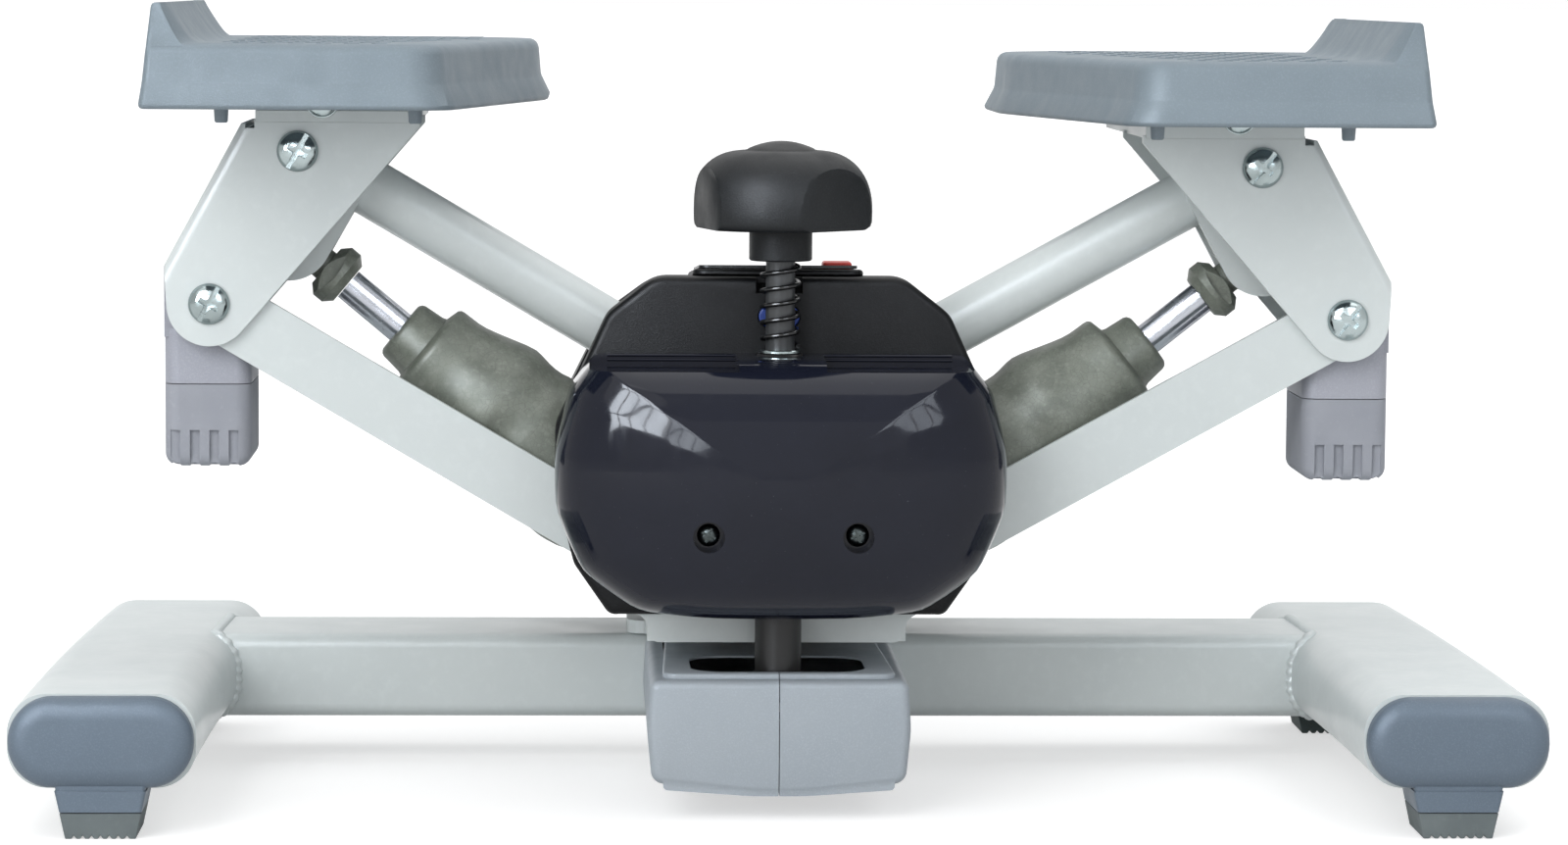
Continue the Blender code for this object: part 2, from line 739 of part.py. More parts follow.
def make_cap(side, end):
    """An end cap: its rounded face, the plug inside the leg and the neck of the foot."""
    name = f"{side}_{end}_cap"
    way = -1 if end == "front" else 1
    face_y = way * BASE_DEPTH / 2
    back_y = way * (BASE_DEPTH / 2 - CAP_THICKNESS + GAP)
    plug_y = way * (BASE_DEPTH / 2 - CAP_THICKNESS - CAP_PLUG)
    middle_x = SIDES[side] * (LEG_FRONT_X if end == "front" else LEG_REAR_X)
    place = [(middle_x + x, LEG_MIDDLE_Z + z) for x, z in leg_section(-CAP_INSET)]
    cap = upright_plate(name, [place], min(face_y, back_y), max(face_y, back_y), CAP_PLASTIC)
    depth = CAP_THICKNESS - GAP
    soften(cap, 0.0030, lambda co: abs(co.z + way * depth / 2) < 1e-5, 2)
    inner = [(middle_x + x, LEG_MIDDLE_Z + z) for x, z in leg_section(-LEG_WALL - 2 * RUNNING_GAP)]
    inside_y = way * (BASE_DEPTH / 2 - CAP_THICKNESS / 2)
    join(cap, upright_plate(name + "_plug", [inner], min(inside_y, plug_y), max(inside_y, plug_y), CAP_PLASTIC))
    neck_y = way * (BASE_DEPTH / 2 - FOOT_SET_BACK - FOOT_DEPTH / 2)
    under = LEG_MIDDLE_Z - LEG_HEIGHT / 2 - GAP
    neck = loft(
        name + "_neck",
        [
            foot_ring(middle_x, neck_y, foot_width(PAD_HEIGHT), FOOT_DEPTH, PAD_HEIGHT),
            foot_ring(middle_x, neck_y, foot_width(under), FOOT_DEPTH, under),
        ],
        CAP_PLASTIC,
    )
    root_depth = CAP_THICKNESS - FOOT_SET_BACK - 3 * GAP
    root_y = way * (BASE_DEPTH / 2 - FOOT_SET_BACK - GAP - root_depth / 2)
    root_low = PAD_HEIGHT + GAP
    root = loft(
        name + "_root",
        [
            foot_ring(middle_x, root_y, foot_width(root_low) - 2 * GAP, root_depth, root_low),
            foot_ring(middle_x, root_y, foot_width(LEG_MIDDLE_Z) - 2 * GAP, root_depth, LEG_MIDDLE_Z),
        ],
        CAP_PLASTIC,
    )
    join(cap, join(neck, root))
    return smooth(cap)


def make_pad(side, end):
    """The rubber pad of a foot, with saw-tooth grooves across its sole."""
    name = f"{side}_{end}_foot"
    way = -1 if end == "front" else 1
    middle_x = SIDES[side] * (LEG_FRONT_X if end == "front" else LEG_REAR_X)
    middle_y = way * (BASE_DEPTH / 2 - FOOT_SET_BACK - FOOT_DEPTH / 2)
    top = PAD_HEIGHT - GAP
    rubber = PAD_RUBBER if end == "front" else REAR_RUBBER
    pad = loft(
        name,
        [
            foot_ring(middle_x, middle_y, foot_width(0), FOOT_DEPTH - 0.001, 0),
            foot_ring(middle_x, middle_y, foot_width(top), FOOT_DEPTH - 0.001, top),
        ],
        rubber,
    )
    pitch = FOOT_BOTTOM_WIDTH / PAD_GROOVES
    teeth = [(middle_x - FOOT_BOTTOM_WIDTH / 2 + pitch, -0.002)]
    for groove in range(1, PAD_GROOVES):
        x = middle_x - FOOT_BOTTOM_WIDTH / 2 + pitch * groove
        if groove > 1:
            teeth.append((x - PAD_GROOVE, -0.0005))
        teeth.append((x - PAD_GROOVE * (groove > 1), 0) if groove > 1 else (x - PAD_GROOVE, 0))
        teeth.append((x, PAD_GROOVE * 1.5))
        teeth.append((x + PAD_GROOVE, 0))
        teeth.append((x + PAD_GROOVE, -0.0005))
    teeth.append((middle_x + FOOT_BOTTOM_WIDTH / 2 - pitch, -0.002))
    comb = upright_plate(name + "_grooves", [teeth], middle_y - FOOT_DEPTH, middle_y + FOOT_DEPTH, rubber)
    return cut(pad, comb)


def slot_outline(margin):
    return box_outline(
        -SLOT_HALF_LENGTH + margin,
        SLOT_HALF_LENGTH - margin,
        SLOT_Y - SLOT_HALF_WIDTH + margin,
        SLOT_Y + SLOT_HALF_WIDTH - margin,
        SLOT_CORNER - margin,
    )


def make_nose_arm():
    """Steel box arm welded to the cross tube; its slot's ends stop the twist."""
    section = box_outline(-ARM_WIDTH / 2, ARM_WIDTH / 2, ARM_BOTTOM_Z, ARM_TOP_Z, 0.004)
    back_y = CROSS_TUBE_Y - CROSS_TUBE_DEPTH / 2 - GAP
    arm = upright_plate("nose_arm", [section, shrunk(section, ARM_WALL)], ARM_FRONT_Y, back_y, PLAIN_STEEL)
    window = level_plate(
        "nose_arm_slot", [slot_outline(STOP_MARGIN)], ARM_TOP_Z - 2 * ARM_WALL, ARM_TOP_Z + 0.002, PLAIN_STEEL
    )
    return smooth(cut(arm, window))


def nose_section(top_z):
    """The nose seen from the front: upright sides, round lower corners, crowned bottom."""
    half = (
        (NOSE_HALF_WIDTH - 0.001, top_z, 0.0035),
        (NOSE_HALF_WIDTH, NOSE_BELLY_Z, 0.030),
        (NOSE_HALF_WIDTH - 0.0022, NOSE_BOTTOM_Z, 0.0055),
        (0.012, NOSE_BOTTOM_Z - NOSE_BOTTOM_CROWN, 0.060),
    )
    return mirrored_outline(half)


def make_nose_half(side):
    """One moulded half of the nose cover, with half of the slot."""
    name = f"nose_cover_{side}"
    back_y = CROSS_TUBE_Y - CROSS_TUBE_DEPTH / 2 - GAP
    shell = upright_plate(name, [nose_section(NOSE_TOP_Z)], NOSE_FRONT_Y, back_y, NOSE_PLASTIC)
    depth = back_y - NOSE_FRONT_Y
    soften(shell, 0.0028, lambda co: co.z > depth / 2 - 1e-5, 2)
    panel_edge = NOSE_HALF_WIDTH - 0.0050
    panel = level_plate(
        name + "_panel",
        [rounded([
            (-panel_edge, NOSE_FRONT_Y + 0.0045, 0.005),
            (panel_edge, NOSE_FRONT_Y + 0.0045, 0.005),
            (panel_edge - 0.003, back_y, 0),
            (-panel_edge + 0.003, back_y, 0),
        ])],
        NOSE_TOP_Z - 0.002,
        NOSE_PANEL_Z,
        NOSE_PLASTIC,
    )
    soften(panel, 0.0010, lambda co: co.z > 0, 2)
    inside = shrunk(nose_section(NOSE_TOP_Z), NOSE_WALL)
    hollow = upright_plate(name + "_hollow", [inside], NOSE_FRONT_Y + NOSE_WALL, back_y + 0.01, NOSE_PLASTIC)
    slot = level_plate(name + "_slot", [slot_outline(0)], NOSE_TOP_Z - 0.010, NOSE_PANEL_Z + 0.002, NOSE_PLASTIC)
    keep = SIDES[side]
    other = sorted((-keep * 0.06, keep * GAP / 2))
    split = block(
        name + "_split", (other[0], NOSE_FRONT_Y - 0.01, -0.01), (other[1], back_y + 0.02, 0.07), NOSE_PLASTIC
    )
    join(shell, panel)
    return smooth(cut(shell, hollow, slot, split))


def make_turntable_plate():
    outline = box_outline(
        -TURNTABLE_LENGTH / 2,
        TURNTABLE_LENGTH / 2,
        CROSS_TUBE_Y - CROSS_TUBE_DEPTH / 2 + TURNTABLE_SET_IN,
        CROSS_TUBE_Y + CROSS_TUBE_DEPTH / 2 - TURNTABLE_SET_IN,
        0.006,
    )
    opening = hole((0, CROSS_TUBE_Y), SPINDLE_RADIUS + GAP)
    return level_plate("turntable_plate", [outline, opening], CROSS_TUBE_TOP_Z + GAP, TURNTABLE_TOP_Z, WHITE_PAINT)


def make_spindle():
    low = CROSS_TUBE_TOP_Z + GAP
    profile = [
        (0, SPINDLE_TOP_Z),
        (SPINDLE_RADIUS - 0.001, SPINDLE_TOP_Z),
        (SPINDLE_RADIUS, SPINDLE_TOP_Z - 0.001),
        (SPINDLE_RADIUS, low),
        (0, low),
    ]
    return turned("twist_spindle", profile, PLAIN_STEEL, Matrix.Translation(TWIST_AXIS), sides=ROUND_SIDES)


# Twisting unit

def make_bush():
    low = TURNTABLE_TOP_Z + GAP
    bore = SPINDLE_RADIUS + GAP
    profile = [
        (BUSH_RADIUS, BUSH_TOP_Z),
        (BUSH_RADIUS, low + BUSH_FLANGE),
        (BUSH_FLANGE_RADIUS, low + BUSH_FLANGE),
        (BUSH_FLANGE_RADIUS, low),
        (bore, low),
        (bore, BUSH_TOP_Z),
    ]
    return turned("twist_bush", profile, BRONZE, Matrix.Translation(TWIST_AXIS), closed=True, sides=ROUND_SIDES)


def make_spindle_nut():
    low = BUSH_TOP_Z + GAP
    outline = [
        (NUT_RADIUS * math.cos(corner * math.pi / 3), CROSS_TUBE_Y + NUT_RADIUS * math.sin(corner * math.pi / 3))
        for corner in range(6)
    ]
    opening = hole((0, CROSS_TUBE_Y), SPINDLE_RADIUS + GAP)
    return level_plate("spindle_nut", [outline, opening], low, low + NUT_HEIGHT, ZINC)


def frame_plate_outline():
    half = (
        (FRAME_TOP_HALF_WIDTH, FRAME_TOP_Z, 0.008),
        (SHOULDER_HALF_WIDTH, SHOULDER_TOP_Z, 0.010),
        (SHOULDER_HALF_WIDTH, 0.0720, 0.004),
        (FRAME_HALF_WIDTH, 0.0635, 0.004),
        (FRAME_HALF_WIDTH, FRAME_BOTTOM_Z, FRAME_CORNER),
    )
    return mirrored_outline(half)


def make_twist_frame():
    """Base plate, two upright plates, the arms' lower pivot pins and the damper clevises."""
    frame = level_plate(
        "twist_frame",
        [
            rounded([
                (-FRAME_HALF_WIDTH, FRAME_FRONT_Y + 0.001, 0),
                (FRAME_HALF_WIDTH, FRAME_FRONT_Y + 0.001, 0),
                (FRAME_HALF_WIDTH, FRAME_BACK_Y, 0.012),
                (-FRAME_HALF_WIDTH, FRAME_BACK_Y, 0.012),
            ]),
            hole((0, CROSS_TUBE_Y), BUSH_RADIUS + GAP),
        ],
        FRAME_BOTTOM_Z + GAP,
        FRAME_TOP_FACE_Z,
        WHITE_PAINT,
    )
    front_back_y = FRAME_FRONT_Y + FRAME_PLATE
    upper_holes = [
        hole((SIDES[side] * (LOWER_PIVOT + PIVOT_OFFSET).x, (LOWER_PIVOT + PIVOT_OFFSET).y), PIVOT_PIN_RADIUS + GAP)
        for side in SIDES
    ]
    outlines = [frame_plate_outline(), *upper_holes]
    join(frame, upright_plate("frame_front_plate", outlines, FRAME_FRONT_Y, front_back_y, WHITE_PAINT))
    rear_end_y = FRAME_REAR_Y + FRAME_PLATE
    join(frame, upright_plate("frame_rear_plate", outlines, FRAME_REAR_Y, rear_end_y, WHITE_PAINT))
    for side in SIDES:
        x = SIDES[side] * LOWER_PIVOT.x
        z = LOWER_PIVOT.y
        front_end = (x, FRONT_BAR_Y + SHEET / 2, z)
        back_end = (x, BACK_BAR_Y - SHEET / 2, z)
        front_pin = rod(f"{side}_front_pin", (x, front_back_y - 0.001, z), front_end, PIVOT_PIN_RADIUS, PLAIN_STEEL, PIN_SIDES)
        back_pin = rod(f"{side}_back_pin", (x, FRAME_REAR_Y + 0.001, z), back_end, PIVOT_PIN_RADIUS, PLAIN_STEEL, PIN_SIDES)
        join(frame, front_pin, back_pin)
        join(frame, *make_clevis(side))
    rocker_pin_end = ROCKER_FRONT_Y + ROCKER_THICKNESS + 0.0008
    rocker_pin = rod(
        "rocker_pin",
        (0, front_back_y - 0.001, ROCKER_PIVOT_Z),
        (0, rocker_pin_end, ROCKER_PIVOT_Z),
        BOLT_RADIUS,
        PLAIN_STEEL,
        PIN_SIDES,
    )
    join(frame, rocker_pin)
    for number, height in enumerate(TAB_HEIGHTS, 1):
        tab = level_plate(
            f"sleeve_tab_{number}",
            [
                box_outline(-TAB_HALF_WIDTH, TAB_HALF_WIDTH, LOCK_Y - TAB_HALF_WIDTH, FRAME_FRONT_Y + 0.001),
                hole((0, LOCK_Y), SLEEVE_RADIUS + GAP),
            ],
            height - FRAME_PLATE / 2,
            height + FRAME_PLATE / 2,
            WHITE_PAINT,
        )
        join(frame, tab)
    return smooth(frame)


def make_clevis(side):
    """Two upright lugs and the pin that a damper's lower eye swings on."""
    x = SIDES[side] * DAMPER_PIVOT.x
    z = DAMPER_PIVOT.y
    lug = hull([(x, z, 0.0085), (x - 0.012, FRAME_TOP_FACE_Z - 0.001, 0.001), (x + 0.012, FRAME_TOP_FACE_Z - 0.001, 0.001)])
    near = MIDDLE_Y - DAMPER_EYE_HALF - 0.001
    far = MIDDLE_Y + DAMPER_EYE_HALF + 0.001
    front = upright_plate(f"{side}_clevis_front", [lug], near - FRAME_PLATE, near, WHITE_PAINT)
    back = upright_plate(f"{side}_clevis_back", [lug], far, far + FRAME_PLATE, WHITE_PAINT)
    pin = rod(f"{side}_clevis_pin", (x, near - 0.001, z), (x, far + 0.001, z), BOLT_RADIUS, PLAIN_STEEL, PIN_SIDES)
    return front, back, pin


def make_upper_axle(side):
    pivot = LOWER_PIVOT + PIVOT_OFFSET
    start = out(side, pivot.x, pivot.y, FRAME_FRONT_Y + 0.0002)
    end = out(side, pivot.x, pivot.y, FRAME_REAR_Y + FRAME_PLATE)
    return rod(f"{side}_upper_axle", start, end, PIVOT_PIN_RADIUS, ZINC)


def housing_outline(bottom_z, bottom_half_width):
    half = list(HOUSING_OUTLINE) + [(bottom_half_width, bottom_z, 0.004)]
    return mirrored_outline(half)


def make_housing_front():
    """The black shell in front of the arms, cut out for the sleeve's tabs and the plug."""
    outline = housing_outline(HOUSING_BOTTOM_Z, HOUSING_BOTTOM_HALF_WIDTH)
    shell = upright_plate("housing_front", [outline], HOUSING_FRONT_Y, HOUSING_RIM_Y, HOUSING_PLASTIC)
    depth = HOUSING_RIM_Y - HOUSING_FRONT_Y
    soften(shell, 0.0025, lambda co: co.z > depth / 2 - 1e-5, 2)
    inner = shrunk(outline, HOUSING_WALL)
    wall_y = HOUSING_FRONT_Y + HOUSING_WALL
    past_rim = HOUSING_RIM_Y + HOUSING_WALL
    cut(shell, upright_plate("housing_front_hollow", [inner], wall_y, past_rim, HOUSING_PLASTIC))
    foot_gap = FRAME_HALF_WIDTH + HOUSING_GATE_SPREAD
    cut(shell, block(
        "housing_front_gate",
        (-foot_gap, wall_y - GAP, HOUSING_BOTTOM_Z - HOUSING_GATE_RISE),
        (foot_gap, past_rim, HOUSING_BOTTOM_Z + HOUSING_GATE_RISE),
        HOUSING_PLASTIC,
    ))
    for number, height in enumerate(TAB_HEIGHTS, 1):
        reach = TAB_HALF_WIDTH + RUNNING_GAP
        rise = FRAME_PLATE / 2 + RUNNING_GAP
        cut(shell, block(
            f"tab_window_{number}",
            (-reach, HOUSING_FRONT_Y - 0.002, height - rise),
            (reach, wall_y + 0.001, height + rise),
            HOUSING_PLASTIC,
        ))
    chord = math.sqrt(max(0, COLLAR_RADIUS ** 2 - (HOUSING_FRONT_Y - LOCK_Y) ** 2))
    notch = chord + 3 * RUNNING_GAP
    notch_back = max(wall_y, LOCK_Y + COLLAR_RADIUS) + 5 * RUNNING_GAP
    cut(shell, block(
        "collar_notch",
        (-notch, HOUSING_FRONT_Y - 0.002, KNOB_BOTTOM_Z - LOCK_TRAVEL - RUNNING_GAP),
        (notch, notch_back, HOUSING_TOP_Z + 0.01),
        HOUSING_PLASTIC,
    ))
    plug = [(PLUG_HALF_WIDTH * x, PLUG_Z + PLUG_HALF_HEIGHT * z) for x, z in hole((0, 0), 1, 16)]
    grown = shrunk(plug, -GAP)
    cut(shell, upright_plate("plug_hole", [grown], HOUSING_FRONT_Y - 0.002, wall_y + 0.002, HOUSING_PLASTIC))
    blue = upright_plate("blue_plug", [plug], HOUSING_FRONT_Y - GAP, wall_y, BLUE_PLASTIC)
    return smooth(shell), blue


def housing_ring(y, taper, grow=0.0, floor_z=HOUSING_REAR_BOTTOM_Z):
    outline = housing_outline(HOUSING_REAR_BOTTOM_Z, HOUSING_BOTTOM_HALF_WIDTH)
    if grow:
        outline = shrunk(outline, -grow)
    ring = []
    full = HOUSING_TOP_Z - HOUSING_REAR_BOTTOM_Z
    lower = taper * (1 - console_drop(y) / full)
    for x, z in outline:
        height = HOUSING_REAR_BOTTOM_Z + (z - HOUSING_REAR_BOTTOM_Z) * lower
        if height < HOUSING_REAR_BOTTOM_Z + 0.004:
            height = min(height, floor_z)
        ring.append((x * taper, y, height))
    return ring


def make_housing_rear():
    """The black shell behind the arms, over the spindle, open to the front and below."""
    rings = []
    cuts = []
    stations = (
        (HOUSING_REAR_START_Y, 1.0),
        (HOUSING_REAR_SHOULDER_Y, 1.0),
        (HOUSING_REAR_SHOULDER_Y + 0.020, 0.95),
        (HOUSING_REAR_END_Y - 0.005, 0.87),
        (HOUSING_REAR_END_Y, HOUSING_REAR_TAPER),
    )
    for y, taper in stations:
        rings.append(housing_ring(y, taper))
    for index, (y, taper) in enumerate(stations):
        shift = (-0.01, 0, 0, 0, 0)[index]
        back = 0.0 if index < 3 else HOUSING_WALL
        cuts.append(housing_ring(y + shift - back, taper, -HOUSING_WALL, HOUSING_REAR_BOTTOM_Z - 0.01))
    shell = loft("housing_rear", rings, HOUSING_PLASTIC)
    return smooth(cut(shell, loft("housing_rear_hollow", cuts, HOUSING_PLASTIC)), 50)


def console_drop(y):
    """How far the leaning console has sunk at y, from the front shell's rim."""
    return (y - HOUSING_RIM_Y) * math.tan(CONSOLE_LEAN)


def lean_back(piece):
    """Turn a level piece of the console about the front shell's rim."""
    pivot = Matrix.Translation((0, HOUSING_RIM_Y, HOUSING_TOP_Z + GAP))
    piece.matrix_world = pivot @ Matrix.Rotation(-CONSOLE_LEAN, 4, "X") @ pivot.inverted() @ piece.matrix_world
    return piece


def button_box(grow, low_z, high_z):
    reach = BUTTON_HALF + grow
    return (BUTTON_X - reach, BUTTON_Y - reach, low_z), (BUTTON_X + reach, BUTTON_Y + reach, high_z)


def make_console():
    """Console body between the shells, its dark bezel, the display window and the button."""
    low_y = HOUSING_RIM_Y + 0.0007
    high_y = HOUSING_REAR_START_Y - 0.0007
    wedge = [
        (low_y, CONSOLE_BOTTOM_Z),
        (high_y, CONSOLE_BOTTOM_Z),
        (high_y, HOUSING_TOP_Z + 3 * GAP - console_drop(high_y)),
        (low_y, HOUSING_TOP_Z + 3 * GAP - console_drop(low_y)),
    ]
    body = side_plate("console_body", [wedge], -CONSOLE_HALF_WIDTH, CONSOLE_HALF_WIDTH, HOUSING_PLASTIC)
    cover = level_plate(
        "console_plate",
        [box_outline(-CONSOLE_HALF_WIDTH, CONSOLE_HALF_WIDTH, CONSOLE_FRONT_Y, CONSOLE_BACK_Y, 0.005)],
        HOUSING_TOP_Z + GAP,
        CONSOLE_TOP_Z,
        HOUSING_PLASTIC,
    )
    soften(cover, 0.0010, lambda co: co.z > 0, 2)
    join(body, lean_back(cover))
    bezel_top = CONSOLE_TOP_Z + GAP + BEZEL_THICKNESS
    button_top = bezel_top + BUTTON_PROUD - console_drop(BUTTON_Y)
    button_low = button_top - BUTTON_HEIGHT
    cut(body, block("button_pocket", *button_box(RUNNING_GAP, button_low - 0.0021, bezel_top), HOUSING_PLASTIC))
    half = CONSOLE_HALF_WIDTH - BEZEL_MARGIN
    front_y = CONSOLE_FRONT_Y + BEZEL_MARGIN
    window_front_y = front_y + 0.004
    window = box_outline(WINDOW_LEFT_X, WINDOW_RIGHT_X, window_front_y, WINDOW_BACK_Y, 0.002)
    reach = BUTTON_HALF + RUNNING_GAP
    opening = box_outline(BUTTON_X - reach, BUTTON_X + reach, BUTTON_Y - reach, BUTTON_Y + reach)
    bezel = level_plate(
        "console_bezel",
        [box_outline(-half, half, front_y, CONSOLE_BACK_Y - BEZEL_MARGIN, 0.0035), window, opening],
        CONSOLE_TOP_Z + GAP,
        bezel_top,
        BEZEL_PLASTIC,
    )
    glass = level_plate(
        "display_window", [shrunk(window, GAP)], CONSOLE_TOP_Z + GAP, bezel_top - 0.0002, WINDOW_PLASTIC
    )
    lean_back(bezel)
    lean_back(glass)
    button = block("red_button", *button_box(0, button_low, button_top), RED_PLASTIC)
    bevel(button, 0.0008)
    hang(new_pivot("button_pivot", (BUTTON_X, BUTTON_Y, button_top), TWIST), button)
    return body, bezel, glass


def cover_rings(shrink, back_extra):
    outline = mirrored_outline(COVER_OUTLINE)
    if shrink:
        outline = shrunk(outline, shrink)
    rings = []
    for number, (forward, factor) in enumerate(COVER_STEPS):
        y = COVER_BACK_Y - forward + (back_extra if number == 0 else shrink)
        rings.append([(x, y, z) for x, z in scaled(outline, (0, COVER_CENTRE_Z), factor)])
    return rings


def make_smoky_cover():
    """The domed smoky shell, open behind, with the sleeve's holes and the screw pillars."""
    cover = loft("smoky_cover", cover_rings(0, 0), SMOKY_PLASTIC)
    cut(cover, loft("smoky_cover_hollow", cover_rings(COVER_WALL, 0.01), SMOKY_PLASTIC))
    for side in SIDES:
        front = out(side, SCREW_X, SCREW_Z, SCREW_RECESS_Y - 0.0082)
        back = out(side, SCREW_X, SCREW_Z, COVER_BACK_Y - GAP)
        join(cover, rod(f"{side}_pillar", front, back, PILLAR_RADIUS, SMOKY_PLASTIC, PIN_SIDES))
        ahead = out(side, SCREW_X, SCREW_Z, SCREW_RECESS_Y - 0.020)
        seat = out(side, SCREW_X, SCREW_Z, SCREW_RECESS_Y)
        cut(cover, rod(f"{side}_recess", ahead, seat, SCREW_RECESS_RADIUS, SMOKY_PLASTIC, PIN_SIDES))
    passage = rod(
        "sleeve_passage", (0, LOCK_Y, 0.050), (0, LOCK_Y, 0.170), SLEEVE_RADIUS + RUNNING_GAP, SMOKY_PLASTIC
    )
    return smooth(cut(cover, passage), 50)


def make_lock():
    """Sleeve and washer on the frame; rod, spring, knob and cap that press down."""
    at_lock = Matrix.Translation((0, LOCK_Y, 0))
    bore = ROD_RADIUS + GAP
    sleeve = turned(
        "lock_sleeve",
        collar_profile(SLEEVE_RADIUS, bore, SLEEVE_TOP_Z, SLEEVE_BOTTOM_Z),
        SLEEVE_PAINT,
        at_lock,
        closed=True,
        sides=ROUND_SIDES,
    )
    washer_top = SLEEVE_TOP_Z + GAP + WASHER_THICKNESS
    washer = turned(
        "spring_washer",
        collar_profile(WASHER_RADIUS, bore, washer_top, SLEEVE_TOP_Z + GAP),
        ZINC,
        at_lock,
        closed=True,
        sides=ROUND_SIDES,
    )
    bearing = rod(
        "lock_rod", (0, LOCK_Y, ROD_BOTTOM_Z), (0, LOCK_Y, KNOB_BOTTOM_Z + 0.018), ROD_RADIUS, BLACK_ROD
    )
    spring = make_spring(washer_top + GAP + SPRING_WIRE, KNOB_BOTTOM_Z - GAP - SPRING_WIRE)
    knob, cap = make_knob()
    press = new_pivot("lock_press_pivot", (0, LOCK_Y, KNOB_BOTTOM_Z), TWIST)
    hang(press, bearing)
    hang(new_pivot("knob_turn_pivot", (0, LOCK_Y, KNOB_BOTTOM_Z), press), knob, cap)
    return sleeve, washer, spring


def make_spring(low_z, high_z):
    """An open coil on the rod, one unbroken wire."""
    count = round(SPRING_TURNS * 9)
    points = []
    for index in range(count + 1):
        angle = math.tau * SPRING_TURNS * index / count
        height = low_z + (high_z - low_z) * index / count
        points.append((SPRING_RADIUS * math.cos(angle), LOCK_Y + SPRING_RADIUS * math.sin(angle), height))
    pitch = (high_z - low_z) / SPRING_TURNS
    print(f"plunger spring: least gap between turns {1000 * (pitch - 2 * SPRING_WIRE):.2f} mm")
    curve = bpy.data.curves.new("plunger_spring", "CURVE")
    curve.dimensions = "3D"
    curve.bevel_depth = SPRING_WIRE
    curve.bevel_resolution = 1
    curve.use_fill_caps = True
    fill_spline(curve, points, False)
    return smooth(mesh_from_curve("plunger_spring", curve, SPRING_STEEL), 60)


def make_knob():
    top = KNOB_BOTTOM_Z + COLLAR_HEIGHT + KNOB_HEIGHT
    base = KNOB_BOTTOM_Z + COLLAR_HEIGHT
    profile = [(0, top), (KNOB_CAP_RADIUS, top)]
    steps = 5
    rise = 0.006
    for step in range(1, steps + 1):
        angle = math.pi / 2 * step / steps
        radius = KNOB_CAP_RADIUS + (KNOB_RADIUS - KNOB_CAP_RADIUS) * math.sin(angle) ** 0.9
        height = base + rise + (KNOB_HEIGHT - rise) * math.cos(angle) ** 0.9
        profile.append((radius, height))
    profile += [
        (KNOB_RADIUS - 0.0006, base + 0.001),
        (KNOB_RADIUS - 0.0020, base),
        (COLLAR_RADIUS, base),
        (COLLAR_RADIUS, KNOB_BOTTOM_Z + 0.0005),
        (COLLAR_RADIUS - 0.0005, KNOB_BOTTOM_Z),
        (0, KNOB_BOTTOM_Z),
    ]
    at_lock = Matrix.Translation((0, LOCK_Y, 0))
    knob = turned("knob", profile, KNOB_PLASTIC, at_lock, sides=30)
    for number in range(KNOB_FLATS):
        angle = KNOB_FIRST_FLAT + math.tau * number / KNOB_FLATS
        turn = Matrix.Rotation(angle, 4, "Z")
        flat = block(f"knob_flat_{number + 1}", (0, -0.04, 0), (0.02, 0.04, 0.05), KNOB_PLASTIC)
        shift = Matrix.Translation((KNOB_FLAT_DISTANCE + 0.01, 0, base + 0.025 - 0.002))
        flat.matrix_world = at_lock @ turn @ shift
        cut(knob, flat)
    cut(knob, rod(
        "knob_bore", (0, LOCK_Y, KNOB_BOTTOM_Z - 0.01), (0, LOCK_Y, KNOB_BOTTOM_Z + 0.0185), ROD_RADIUS + GAP,
        KNOB_PLASTIC, PIN_SIDES,
    ))
    seat = rod(
        "cap_seat", (0, LOCK_Y, top - KNOB_CAP_DEPTH), (0, LOCK_Y, top + 0.01), KNOB_CAP_RADIUS - 0.0004, KNOB_PLASTIC, 20
    )
    cut(knob, seat)
    lid = [(0, top + KNOB_CAP_RISE)]
    radius = KNOB_CAP_RADIUS - 0.0008
    for step in range(1, 4):
        share = step / 3
        lid.append((radius * share, top + KNOB_CAP_RISE * (1 - share ** 2) + 0.0002))
    lid += [(radius, top - KNOB_CAP_DEPTH + GAP), (0, top - KNOB_CAP_DEPTH + GAP)]
    cap = turned("knob_cap", lid, KNOB_CAP_PLASTIC, at_lock, sides=20)
    return knob, cap


def make_rocker():
    """A beam on the frame's front plate; the arms' tail pins ride in its open slots."""
    ends = [(way * ROCKER_REACH, ROCKER_PIVOT_Z - ROCKER_DROP, ROCKER_END_RADIUS) for way in (-1, 1)]
    outline = hull([(0, ROCKER_PIVOT_Z, ROCKER_HUB_RADIUS), *ends])
    pivot_hole = hole((0, ROCKER_PIVOT_Z), BOLT_RADIUS + GAP)
    back_y = ROCKER_FRONT_Y + ROCKER_THICKNESS
    rocker = upright_plate("balance_rocker", [outline, pivot_hole], ROCKER_FRONT_Y, back_y, ZINC)
    for side, way in SIDES.items():
        slot = hull([
            (way * ROCKER_SLOT_START, ROCKER_PIVOT_Z - ROCKER_DROP * 0.7, ROCKER_SLOT),
            (way * (ROCKER_REACH + ROCKER_SLOT_OVERRUN), ROCKER_PIVOT_Z - ROCKER_DROP * 1.4, ROCKER_SLOT),
        ])
        cut(rocker, upright_plate(f"{side}_rocker_slot", [slot], ROCKER_FRONT_Y - 0.002, back_y + 0.002, ZINC))
    hang(new_pivot("rocker_pivot", (0, 0, ROCKER_PIVOT_Z), TWIST), rocker)
    return rocker


# Arms and dampers

